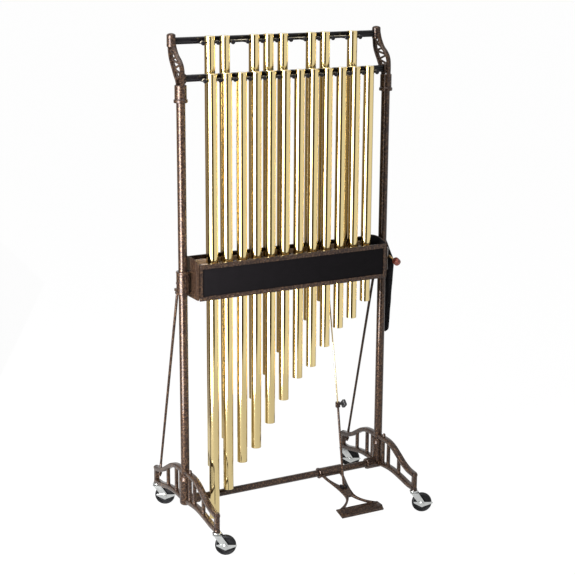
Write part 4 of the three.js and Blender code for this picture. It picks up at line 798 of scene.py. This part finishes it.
outer = rectangle(-box_half, box_half, box_bottom, box_top)
window_ends = (box_bottom + bottom_strip, box_top - top_strip)
window = rectangle(end_strip - box_half, box_half - end_strip, *window_ends)
low, high = box_of("box_front_panel")
panel = rectangle(low.x, high.x, low.z, high.z)
for name, finish, slot, loops, near, far, edge in (
    ("box_front_frame", enamel, "brown_paint", [outer, window], front_low.y, front_high.y, 0.0010),
    ("box_panel", black_panel, "black_panel", [panel], low.y, high.y, 0.0002),
):
    shape = Shape()
    shape.plate(loops, far - near, edge, set_at(0, (near + far) / 2, 0, upright_plane))
    shape.piece(name, finish, slot, "box_front_panel" if loops == [panel] else "box_front_shell")
for level_name, height in (("upper", box_top - top_strip / 2), ("lower", box_bottom + bottom_strip / 2)):
    shape = Shape()
    head = mm((0, 0), (0, 2.6), (0.6, 2.6), (1.2, 2), (1.4, 1.1), (0.8, 0.9), (0.8, 0))
    shape.turn(point(end_strip / 2 - box_half, front_low.y + head_sunk, height), head, 18, (0, -1, 0))
    screws = repeated(shape, enamel, 7, ((box_half - end_strip / 2) / 3, 0, 0))
    screws.piece(level_name + "_box_screws", enamel, "brown_paint")

low, high = box_of("box_rear_shell")
back, sheet, lip = high.y, 0.0016, 0.005
fold = [(back, box_bottom), (back, box_top), (back - lip, box_top), (back - lip, box_top - sheet)]
fold += [(back - sheet, box_top - sheet), (back - sheet, box_bottom + sheet)]
fold += [(back - lip, box_bottom + sheet), (back - lip, box_bottom)]
shape = Shape()
shape.loft([[point(x, y, z) for y, z in fold] for x in (-box_half, box_half)])
shape.piece("box_rear_sheet", enamel, "brown_paint", "box_rear_shell", edge=0.0004)

clamp_bottom, clamp_top, flange = 0.903, 0.987, 0.007
clamp_tall, clamp_middle = clamp_top - clamp_bottom, (clamp_bottom + clamp_top) / 2
flange_half, brace_lug_half, brace_lug_reach, brace_lug_tall = 0.015, 0.009, 0.057, 0.010
root = (column_radius + seat_gap) * 0.98
collar_end = mm((0, 23.8), (1, 24.8), (6, 24.8), (7, 24), (10, 23.6))
screw_reach = 0.017
plate_thickness, skin_thickness, rim = 0.003, 0.0016, 0.0025
skin_edge, shade_sheet_edge = 0.0006, 0.0003
shade_sheet_thickness = plate_thickness - skin_thickness
box_depth, arch_rise, corner_radius = 0.0784, 0.016, 0.014
box_middle, plate_rise = (box_top + box_bottom) / 2, (box_top - box_bottom) / 2 + arch_rise
pin_reach, pin_height, pin_radius = 0.044, 0.944, 0.004
shaft_y, shaft_z = -0.067, 0.905
facing_x = Matrix(((0, 0, 1, 0), (1, 0, 0, 0), (0, 1, 0, 0), (0, 0, 0, 1)))
outline = []
for i in range(25):
    t = i / 24
    outline.append((box_depth * (1 - 2 * t), box_top + 4 * arch_rise * t * (1 - t)))
outline += arc(corner_radius - box_depth, box_bottom + corner_radius, corner_radius, 180, 270)
outline += arc(box_depth - corner_radius, box_bottom + corner_radius, corner_radius, 270, 360)
# The black sheet inside each end plate is painted shade. Its outline stays a rim inside the plate's edge.
narrower, lower = 1 - rim / box_depth, 1 - rim / plate_rise
shade_sheet = [(y * narrower, box_middle + (z - box_middle) * lower) for y, z in outline]
for side_name, side in sides.items():
    low, high = box_of(side_name + "_end_plate")
    outer_x, pin_tip = (low.x, high.x) if side < 0 else (high.x, low.x)
    inner_x = outer_x - side * plate_thickness
    shape = Shape()
    place = set_at(outer_x - side * skin_thickness / 2, 0, 0, facing_x)
    shape.plate([outline], skin_thickness, skin_edge, place)
    for end in (-1, 1):
        shape.pin((inner_x, pin_tip), end * pin_reach, pin_height, pin_radius, edge=skin_edge)
    bearing = mm((0, 0), (0, 6), (10.5, 6), (11, 5.5), (11, 4.3), (1, 4.3), (1, 0))
    shape.turn(point(inner_x, shaft_y, shaft_z), bearing, 28, (-side, 0, 0))
    shape.piece(side_name + "_box_end", enamel, "brown_paint", side_name + "_end_plate")
    # A black sheet on the end plate's inner face paints the shade that falls inside the arch.
    shape = Shape()
    place = set_at(inner_x + side * shade_sheet_thickness / 2, 0, 0, facing_x)
    shape.plate([shade_sheet], shade_sheet_thickness, shade_sheet_edge, place)
    shape.piece(side_name + "_end_painted_shade", black_panel, "black_panel")

    shape = Shape()
    x = side * column_reach
    bore = column_radius + seat_gap
    collar = [(0, bore), *collar_end]
    collar += [(clamp_tall - distance, radius) for distance, radius in reversed(collar)]
    shape.turn(point(x, 0, clamp_bottom), collar, 48, closed=True)
    reach = column_reach - abs(outer_x) - seat_gap
    ends = sorted((x - side * reach, x - side * root))
    for z in (clamp_bottom, clamp_top - flange):
        shape.box(point(ends[0], -flange_half, z), point(ends[1], flange_half, z + flange))
    lug_low = point(x - brace_lug_half, root, clamp_bottom)
    shape.box(lug_low, point(x + brace_lug_half, brace_lug_reach, clamp_bottom + brace_lug_tall))
    screw = mm((0, 0), (0, 6), (7.5, 6), (8.5, 5.2), (8.5, 3.4), (6, 3.4), (6, 0))
    shape.turn(point(x + side * screw_reach, 0, clamp_middle), screw, 24, (side, 0, 0))
    shape.piece(side_name + "_clamp_casting", enamel, "brown_paint", side_name + "_box_clamp", edge=0.0008)


# Inside the box a frame of two wooden bars faced with brown felt lies just behind the tubes. It
# slides on the end plates' pins and is pushed by the levers of a zinc-plated shaft. The bars
# carry black rubber studs, and a felt strip lines the front frame so that no tube knocks on it.
def make_wood(name, dark, light):
    grain = (120, 6, (1, 0.06, 1))
    layers = [(light, grain, 0.35, 0.65)]
    return mottled(name, dark, layers, (0.4, 0.2, grain), (grain, 0.0002), coat_weight=0.2)


fibre = (600, 6)
felt_layers = [((142, 116, 90), (80, 4)), ((168, 142, 114), fibre, 0.4, 0.6)]
felt_look = {"roughness": 0.95, "sheen_weight": 0.6, "sheen_roughness": 0.5}
felt = mottled("brown_felt", (104, 82, 62), felt_layers, None, (fibre, 0.0012), **felt_look)
dark_wood = make_wood("stained_beech", (58, 42, 34), (96, 72, 54))
frame_low, frame_high = box_of("damper_frame")
link_outer = (frame_high.x - frame_low.x) / 2
link_thickness = 0.004
link_inner = link_outer - link_thickness
bar_bottom, bar_top, link_bottom, fork_top = 0.955, 0.985, 0.920, 0.9343
felt_depth, bar_depth, felt_edge = 0.006, 0.005, mm((2, 0), (0.5, 2), (0, 6))
stud_spread, stud_inset, stud_sunk = 0.0085, 0.0055, 0.0004
strip_inset, strip_drop, strip_bottom, strip_thickness = 0.004, 0.0025, 0.046, 0.005
board_top = 1.008
slot_half = pin_radius + seat_gap
travel = 0.0051
fork_front, fork_back = shaft_y - 0.0028, shaft_y + 0.0028
shape = Shape()
for row in (front_row, rear_row):
    face = row + tube_radius + seat_gap + felt_depth
    shape.box(point(-link_outer, face, bar_bottom), point(link_outer, face + bar_depth, board_top))
outline = [(frame_low.y, bar_top), (frame_low.y, link_bottom), (fork_front, link_bottom)]
outline += [(fork_front, fork_top), (fork_back, fork_top), (fork_back, link_bottom)]
outline += [(frame_high.y, link_bottom), (frame_high.y, bar_top)]
slot_ends = (pin_height - slot_half, pin_height + slot_half)
slots = [rectangle(y - slot_half - travel, y + slot_half, *slot_ends) for y in (-pin_reach, pin_reach)]
for side in (-1, 1):
    place = set_at(side * (link_inner + link_outer) / 2, 0, 0, facing_x)
    shape.plate([outline, *slots], link_thickness, plate_edge, place)
shape.piece("damper_bars", dark_wood, "felted_bar", "damper_frame", "felts")
shape = Shape()
for row in (front_row, rear_row):
    face = row + tube_radius + seat_gap
    section = [(face + inset, bar_bottom + rise) for inset, rise in felt_edge]
    section += [(face + inset, board_top - rise) for inset, rise in reversed(felt_edge)]
    section += [(face + felt_depth, board_top), (face + felt_depth, bar_bottom)]
    shape.loft([[point(x, y, z) for y, z in section] for x in (-link_inner, link_inner)])
shape.piece("damper_felts", felt, "felted_bar", body="felts")
shape = Shape()
for offset in (-stud_spread, stud_spread):
    stud = mm((0, 0), (0, 3.2), (2.6, 3.2), (3.6, 2.2), (3.6, 0))
    stud_x, stud_y = first_natural + tube_pitch / 2 + offset, front_row + tube_radius + stud_inset
    shape.turn(point(stud_x, stud_y, board_top - stud_sunk), stud, 14)
studs = repeated(shape, rubber, len(naturals) - 1, (tube_pitch, 0, 0))
studs.piece("damper_studs", rubber, "felted_bar", body="felts")
shape = Shape()
strip_low = point(strip_inset - box_half, front_high.y + seat_gap, box_top - strip_bottom)
shape.box(strip_low, point(box_half - strip_inset, front_high.y + strip_thickness, box_top - strip_drop))
shape.piece("front_liner", felt, "felted_bar", edge=0.0015)

low, high = box_of("damper_shaft")
shaft_half = (high.x - low.x) / 2
shaft_radius, small_pin, lever_pin_length = 0.004, 0.0025, 0.012
lever_rise, lever_width, lever_radius, lever_inset = 0.0265, 0.004, 0.0043, 0.002
crank_y, crank_drop, crank_end, eye_half = -0.008, 0.005, 0.005, 0.003
shape = Shape()
shape.pin((-shaft_half, shaft_half), shaft_y, shaft_z, shaft_radius, 24, plate_edge)
for side in (-1, 1):
    outer_x = side * (link_inner - lever_inset)
    outline = [*arc(0, lever_rise, lever_radius, 0, 180), *arc(0, 0, lever_radius, 180, 360)]
    place = set_at(outer_x - side * lever_width / 2, shaft_y, shaft_z, facing_x)
    shape.plate([outline], lever_width, plate_edge, place)
    start = outer_x - side * lever_width
    shape.pin((start, start + side * lever_pin_length), shaft_y, shaft_z + lever_rise, small_pin)
crank_pin = Vector((natural_places[8] + tube_pitch / 2, crank_y, shaft_z - crank_drop))
outline = arc(crank_y - shaft_y, -crank_drop, crank_end, -90, 90) + arc(0, 0, lever_radius, 90, 270)
arm_end = crank_pin.x - eye_half
place = set_at(arm_end - lever_width / 2, shaft_y, shaft_z, facing_x)
shape.plate([outline], lever_width, plate_edge, place)
shape.pin((arm_end - lever_width, crank_pin.x + eye_half), crank_pin.y, crank_pin.z, small_pin)
shape.piece("rocking_shaft", zinc, "zinc", "damper_shaft", "shaft")


# The pull rod comes in two lengths that meet in a clamp block: a thin brass one with an eye on
# the crank's pin, and a thicker brown one that ends in an eye in the pedal's fork.
rod_clamp = Vector((0.199, -0.056, 0.404))
pedal_axis_x = 0.1985
pedal_tilt = math.radians(17)
clevis_reach, clevis_rise = 0.110, 0.007
upper_radius, lower_radius, eye_wall, upper_sunk, lower_sunk = 0.0025, 0.0045, 0.0045, 0.0067, 0.004
block_extra, block_corner, fork_pin_half, knob_seat = 0.003, 0.005, 0.012, 0.012
clevis_height = crossbar_height - clevis_reach * math.tan(pedal_tilt)
pedal_pin = Vector((pedal_axis_x, -clevis_reach, clevis_height + clevis_rise))
along = (rod_clamp - crank_pin).normalized()
shape = Shape()
eye = mm((0, 2.8), (0, 5.4), (0.5, 6), (4.5, 6), (5, 5.4), (5, 2.8))
shape.turn(point(crank_pin.x - eye[-1][0] / 2, crank_pin.y, crank_pin.z), eye, 32, (1, 0, 0), closed=True)
rod_ends = centre + crank_pin + along * eye_wall, centre + rod_clamp + along * upper_sunk
shape.rod(*rod_ends, upper_radius, 20)
shape.piece("upper_rod", brass, "brass", "upper_pull_rod", "pull_rod")

shape = Shape()
loops = []
for height, depth in mm((-11, 13), (-9, 15), (9, 15), (11, 13)):
    section = rounded_section(depth + block_extra, depth, block_corner)
    loops.append([centre + rod_clamp + Vector((u, v, height)) for u, v in section])
shape.loft(loops)
down = (pedal_pin - rod_clamp).normalized()
shape.rod(centre + rod_clamp + down * lower_sunk, centre + pedal_pin, lower_radius)
eye = mm((0, 0), (0, 6.8), (0.7, 7.5), (8.7, 7.5), (9.4, 6.8), (9.4, 0))
shape.turn(point(pedal_pin.x - eye[-1][0] / 2, pedal_pin.y, pedal_pin.z), eye, 32, (1, 0, 0))
ends = (pedal_pin.x - fork_pin_half, pedal_pin.x + fork_pin_half)
shape.pin(ends, pedal_pin.y, pedal_pin.z, small_pin)
shape.piece("lower_rod", enamel, "brown_paint", "lower_pull_rod", "pull_rod")


# The clamp is tightened by a black moulded knob with four finger lobes, on a short collar and
# a steel screw.
spark = (700, 2)
plastic_layers = [((22, 21, 23), spark)]
plastic_look = (0.38, 0.2, spark), (spark, 0.0001)
black_plastic = mottled("black_moulding", (9, 9, 10), plastic_layers, *plastic_look)
face = rod_clamp.x + knob_seat
knob_radius, lobe_depth, collar_radius, knob_back = 0.0165, 0.004, 0.0045, 0.0083
screw_start, screw_end = -0.007, 0.004
knob_steps = [(knob_back, 0.9), (0.0095, 1), (0.0185, 1), (0.0200, 0.9), (0.0203, 0.55), (0.0190, 0.4)]
rings = [(knob_back, 1, lobed(collar_radius, 0, 4, 72))]
rings += [(distance, share, lobed(knob_radius, lobe_depth, 4, 72)) for distance, share in knob_steps]
shape = Shape()
loops = []
for distance, share, outline in rings:
    spot = centre + Vector((face + distance, rod_clamp.y, rod_clamp.z))
    loops.append([spot + Vector((0, share * u, share * v)) for u, v in outline])
shape.loft(loops)
ends = (face + seat_gap, face + knob_back + seat_gap)
shape.pin(ends, rod_clamp.y, rod_clamp.z, collar_radius, 24, plate_edge)
shape.pin((face + screw_start, face + screw_end), rod_clamp.y, rod_clamp.z, small_pin, 16, 0)
shape.piece("lobed_knob", black_plastic, "black_knob", "clamp_knob", "knob")


# The pedal is cast: a sleeve that turns on the crossbar, an hourglass of two curved arms with
# a web at the waist, a fork for the rod's eye and a long foot plate with a raised lip.
def bezier(*knots, steps=14):
    """The points, after the first, of a curve from the first knot to the last."""
    order = len(knots) - 1
    points = []
    for i in range(1, steps + 1):
        t = i / steps
        weights = [math.comb(order, k) * t**k * (1 - t) ** (order - k) for k in range(order + 1)]
        points.append(tuple(sum(w * knot[axis] for w, knot in zip(weights, knots)) for axis in (0, 1)))
    return points


def mirrored(points):
    """The points, and then their mirror images in reverse order."""
    return points + [(-u, v) for u, v in reversed(points)]


shoulder, waist, spread = 0.047, 0.0205, 0.084
waist_at, web_start, web_end = 0.157, 0.096, 0.167
plate_start, plate_end, plate_half, plate_tip = 0.224, 0.274, 0.095, 0.008
pedal_arm, arm_thickness, arm_edge, arm_overlap = 0.014, 0.009, 0.0022, 0.003
foot_thickness, foot_edge = 0.006, 0.0012
lip_width, lip_thickness, lip_edge, lip_lift = 0.003, 0.005, 0.0008, 0.0025
tread_half, tread_inset, tread_tip_inset, tread_start = 0.0008, 0.012, 0.020, 0.010
tread_count, tread_pitch, tread_lift = 6, 0.006, 0.0034
flare = -(web_end + plate_start) / 2
edge = [(-shoulder, 0)]
edge += bezier((-shoulder, 0), (-shoulder, -web_start / 2), (-waist, -web_start), (-waist, -waist_at))
edge += bezier((-waist, -waist_at), (-waist, flare), (-spread, -plate_start - arm_overlap))
upper_half, neck = shoulder - pedal_arm, waist - pedal_arm
upper_start = 0.019 + arm_thickness / 2
upper_bend = -(upper_start + web_start) / 2
upper = [(-upper_half, -upper_start)]
upper += bezier((-upper_half, -upper_start), (-upper_half, upper_bend), (-neck, -web_start))
lower_half = spread - 2 * pedal_arm
lower = [(-neck, -web_end), *bezier((-neck, -web_end), (-waist, flare), (-lower_half, -plate_start))]
tilted = set_at(pedal_axis_x, 0, crossbar_height, Matrix.Rotation(pedal_tilt, 4, "X"))
shape = Shape()
shape.plate([mirrored(edge), mirrored(upper), mirrored(lower)], arm_thickness, arm_edge, tilted)
tip = -(plate_start + plate_end) / 2
foot_plate = [(-plate_half, -plate_end), (plate_half - plate_tip, -plate_end), (plate_half, tip)]
foot_plate += [(plate_half - plate_tip, -plate_start), (-plate_half, -plate_start)]
shape.plate([foot_plate], foot_thickness, foot_edge, tilted)
lip = rectangle(-plate_half, plate_half - plate_tip, -plate_end, lip_width - plate_end)
shape.plate([lip], lip_thickness, lip_edge, tilted @ Matrix.Translation((0, 0, lip_lift)))
sleeve = mm((-51.5, 13.9), (-51.5, 20), (-50.5, 21), (-46.5, 21), (-45.5, 19), (50.5, 19))
sleeve += mm((51.5, 18), (51.5, 13.9))
shape.turn(point(pedal_axis_x, 0, crossbar_height), sleeve, 48, (1, 0, 0), closed=True)
shape.piece("pedal_casting", enamel, "brown_paint", "pedal", "foot_pedal")
shape = Shape()
fork_base, fork_depth, fork_tall = clevis_height - arm_thickness / 2, 0.009, 0.016 + arm_thickness / 2
for ends in ((-0.0125, -0.0053), (0.0053, 0.0125)):
    low = point(pedal_axis_x + ends[0], -clevis_reach - fork_depth, fork_base)
    shape.box(low, low + Vector((ends[1] - ends[0], 2 * fork_depth, fork_tall)))
shape.piece("pedal_fork", black_paint, "brown_paint", body="foot_pedal", edge=0.0015)
shape = Shape()
rib = rectangle(tread_inset - plate_half, plate_half - tread_tip_inset, -tread_half, tread_half)
place = tilted @ Matrix.Translation((0, -plate_start - tread_start, tread_lift))
shape.plate([rib], 2 * tread_half, plate_edge, place)
ribs = repeated(shape, enamel, tread_count, tilted.to_3x3() @ Vector((0, -tread_pitch, 0)))
ribs.piece("tread_ribs", enamel, "brown_paint", body="foot_pedal")


# A black cloth pouch hangs outside the right-hand column from a tongue that passes behind it to
# the end plate. It is sewn from two panels with a piped edge, tapers downwards, and its mouth
# slopes to the front, where the mallet's handle goes in.
def make_cloth():
    look = {"roughness": 0.9, "sheen_weight": 0.08, "sheen_roughness": 0.4, "specular_ior_level": 0.1}
    finish = Finish("black_duck", **look)
    threads = []
    for direction in ("Z", "Y"):
        settings = {"wave_type": "BANDS", "bands_direction": direction}
        threads.append(finish.node("ShaderNodeTexWave", settings, {"Vector": finish.place(), "Scale": 420.0}))
    weave = threads[0] * threads[1]
    shade = finish.over(srgb((5, 4, 6)), (14, 13, 15), finish.noise(40, 4))
    finish.feed("Base Color", finish.over(shade, (22, 21, 24), weave))
    finish.relief(weave + 2 * finish.noise(30, 3), 0.0004)
    return finish.material


cloth = make_cloth()
pouch_inner, pouch_outer = 0.445, 0.475
pouch_x, pouch_half = (pouch_outer + pouch_inner) / 2, (pouch_outer - pouch_inner) / 2
low, high = box_of("mallet_pouch")
pouch_top, tall = high.z, high.z - low.z
mouth_front, mouth_share = 0.056, 0.079 / tall
front_top, rear_top = -0.010, 0.072
front_bottom, rear_bottom = 0.016, 0.060
pouch_rows, pouch_corners, squareness = 44, 40, 0.45
hem_share, mouth_end = 0.96, 0.22
piping_radius, piping_past = 0.0011, 0.0004
stitch_radius, stitch_share, stitch_depth, stitch_inset = 0.0007, 0.6, 0.0016, 0.009


def between(start, end, share):
    return start + (end - start) * share


def pouch_edges(share):
    """The front and rear edge of the pouch, a share of the way down."""
    rear = between(rear_top, rear_bottom, share)
    if share < mouth_share:
        return between(mouth_front, front_top, share / mouth_share), rear
    return between(front_top, front_bottom, (share - mouth_share) / (1 - mouth_share)), rear


def rounded(value):
    return math.copysign(abs(value) ** squareness, value)


def pouch_loop(share):
    """One level of the sewn bag: two panels that meet in thin piped seams."""
    front, rear = pouch_edges(share)
    taper = 1 - 0.7 * max(0, (share - hem_share) / (1 - hem_share)) ** 2
    narrow = 0.7 + 0.3 * min(1, share / mouth_end)
    half_x = pouch_half * narrow * taper * (0.93 + 0.07 * math.sin(5 * share + 0.6))
    half_y = (rear - front) / 2 * (0.35 + 0.65 * taper)
    crease = 0.0011 * math.sin(31 * share) + 0.0009 * math.sin(17 * share + 2)
    loop = []
    for u, v in lobed(1, 0, 1, pouch_corners):
        x = pouch_x + rounded(u) * (half_x + crease * u * u)
        loop.append(point(x, (front + rear) / 2 + rounded(v) * half_y, pouch_top - tall * share))
    return loop


shape = Shape()
shape.loft([pouch_loop(i / pouch_rows) for i in range(pouch_rows + 1)])
pouch = shape.piece("pouch_bag", cloth, "black_cloth", "mallet_pouch", smooth_deg=60)

shape = Shape()
levels = [0.005 + 0.975 * i / 30 for i in range(31)]
seam = []
for end, row, past in ((0, levels, -piping_past), (1, levels[::-1], piping_past)):
    seam += [point(pouch_x, pouch_edges(share)[end] + past, pouch_top - tall * share) for share in row]
shape.sweep(seam, arc(0, 0, piping_radius, 0, 315, 7))
shape.piece("pouch_piping", cloth, "black_cloth")
shape = Shape()
stitches = 54
ends = [(pouch_edges(share)[0] + stitch_inset, pouch_top - tall * share) for share in (levels[8], levels[28])]
start, end = [point(pouch_outer - stitch_depth, y, z) for y, z in ends]
stitch = (end - start) / stitches
shape.rod(start, start + stitch_share * stitch, stitch_radius, 8, 0.0002)
repeated(shape, cloth, stitches, tuple(stitch)).piece("pouch_stitches", cloth, "black_cloth")

shape = Shape()
tongue_start, tongue_front, tongue_back, tongue_overlap = 0.3933, 0.0245, 0.031, 0.006
tongue_drop, tongue_tall = 0.075, 0.028
tongue_low = point(tongue_start, tongue_front, pouch_top - tongue_drop)
tongue_high = pouch_top - tongue_drop + tongue_tall
shape.box(tongue_low, point(pouch_inner + tongue_overlap, tongue_back, tongue_high))
shape.piece("pouch_tongue", cloth, "black_cloth", edge=0.002)


# The mallet is a roll of dark red hide on a turned wooden handle. It lies in the pouch with its
# head forward and its handle pushed up and back through the cloth.
roll = (260, 3, (1, 0.15, 1))
hide_layers = [((134, 62, 40), (50, 4)), ((70, 26, 20), roll, 0.45, 0.7)]
hide_look = (0.4, 0.25, roll), (roll, 0.0004)
hide = mottled("rolled_hide", (92, 34, 24), hide_layers, *hide_look, coat_weight=0.25, coat_roughness=0.3)
pale_wood = make_wood("maple_handle", (190, 146, 84), (222, 184, 122))
mallet_tilt, mallet_roll = math.radians(12), math.radians(-48)
mallet_turn = Matrix.Rotation(mallet_tilt, 4, "X") @ Matrix.Rotation(mallet_roll, 4, "Y")
mallet_spot = (0.457, -0.046, 0.9372)
mallet_place = set_at(*mallet_spot, mallet_turn)
shape = Shape()
head = mm((-11.2, 0), (-11.2, 5), (-11.8, 5.6), (-12, 7), (-12, 9.6), (-11.6, 11.2))
head += mm((-10.5, 12.7), (-8.8, 13.7), (-6, 14))
head += [(-distance, radius) for distance, radius in reversed(head)]
shape.turn((0, 0, 0), head, 48)
shape.piece("mallet_head", hide, "rawhide", "mallet", "beater", mallet_place)
shape = Shape()
handle = mm((10, 0), (10, 4.2), (50, 4.2), (110, 5), (157, 4.6), (166, 4.2), (170, 2), (170, 0))
shape.turn((0, 0, 0), handle, 28, (0, 1, 0))
shape.piece("mallet_handle", pale_wood, "rawhide", body="beater", place=mallet_place)


# The studio: a plain white floor that runs out to the horizon, and soft lamps. The white behind
# the set comes from the floor's and the sky's own colour, and the floor keeps a faint shadow.
def share_seen(tree):
    """1 for what the camera sees directly, in a mirror or through glass, and 0 for light."""
    rays = tree.nodes.new("ShaderNodeLightPath")
    camera_ray, glossy, transmitted = [
        Grain(tree, rays.outputs[f"Is {kind} Ray"]) for kind in ("Camera", "Glossy", "Transmission")
    ]
    return camera_ray + glossy + transmitted


def make_floor(name, paint, seen):
    """A matt floor that takes the shadow as paint and looks almost evenly lit where it is seen."""
    finish = Finish(name, roughness=0.9, base_color=(*paint, 1))
    flat = finish.node("ShaderNodeEmission", sockets={"Color": (*seen, 1), "Strength": 1.0})
    lit = Grain(finish.tree, finish.shader.outputs["BSDF"])
    both = finish.node("ShaderNodeMixShader", sockets={0: 0.95 * share_seen(finish.tree), 1: lit, 2: flat})
    finish.tree.links.new(both.socket, finish.tree.nodes["Material Output"].inputs["Surface"])
    return finish.material


def stage_sheet(name, finish, outline, height):
    """A flat sheet on the floor, its corners given as the camera sees right and depth."""
    turned = Matrix.Translation(centre) @ Matrix.Rotation(-camera_turn, 4, "Z")
    mesh = bpy.data.meshes.new(name)
    mesh.from_pydata([turned @ Vector((x, y, height)) for x, y in outline], [], [range(len(outline))])
    mesh.materials.append(finish)
    sheet = bpy.data.objects.new(name, mesh)
    scene.collection.objects.link(sheet)
    return sheet


far = 80
white_floor = make_floor("white_floor", (0.9, 0.9, 0.9), (1.03, 1.03, 1.03))
stage_sheet("floor", white_floor, rectangle(-far, far, -far, far), 0)
# A dark cloth lies on the floor before the set and a tan one beside it. The camera doesn't see
# them, but the brass mirrors them down the middle and the left edge of every tube.
cloth_paint, cloth_height = (0.05, 0.04, 0.03), 0.004
front_outline = [(-0.58, -2.2), (1.28, -2.2), (23.0, -40.0), (-4.2, -40.0)]
side_outline = [(-1.3, -0.75), (-38.0, -22.0), (-38.0, 30.0), (-16.0, 38.0), (-1.5, 3.5)]
cloths = [("front_cloth", front_outline, (0.09, 0.08, 0.06)), ("side_cloth", side_outline, (0.34, 0.27, 0.2))]
for cloth_name, outline, seen in cloths:
    sheet = stage_sheet(cloth_name, make_floor(cloth_name, cloth_paint, seen), outline, cloth_height)
    sheet.visible_camera = False


def lamp(name, azimuth_deg, distance, width, power, height=1.25, aim_height=1.25, tall=2.5):
    """A soft box that faces the set. Azimuth is turned from the camera's side, to its right."""
    light = bpy.data.lights.new(name, "AREA")
    light.shape = "RECTANGLE"
    light.size = width
    light.size_y = tall
    light.energy = power
    made = bpy.data.objects.new(name, light)
    angle = camera_turn - math.radians(azimuth_deg)
    place = centre + Vector((-distance * math.sin(angle), -distance * math.cos(angle), height))
    aim = centre + Vector((0, 0, aim_height)) - place
    made.matrix_world = Matrix.Translation(place) @ aim.to_track_quat("-Z", "Y").to_matrix().to_4x4()
    made.visible_camera = False
    scene.collection.objects.link(made)


lamp("left_box", -39, 1.75, 1.6, 56)
lamp("left_strip", -39, 1.7, 0.7, 160)
lamp("right_box", 66, 1.75, 2.7, 6.5)
lamp("top_box", 0, 0.3, 2.0, 36, height=3.6, aim_height=1.0, tall=2.0)
world = bpy.data.worlds.new("studio")
scene.world = world
world.use_nodes = True
lit_level, seen_level = 0.14, 1.0
background = world.node_tree.nodes["Background"]
background.inputs["Color"].default_value = (1, 1, 1, 1)
level = lit_level + (seen_level - lit_level) * share_seen(world.node_tree)
world.node_tree.links.new(level.socket, background.inputs["Strength"])
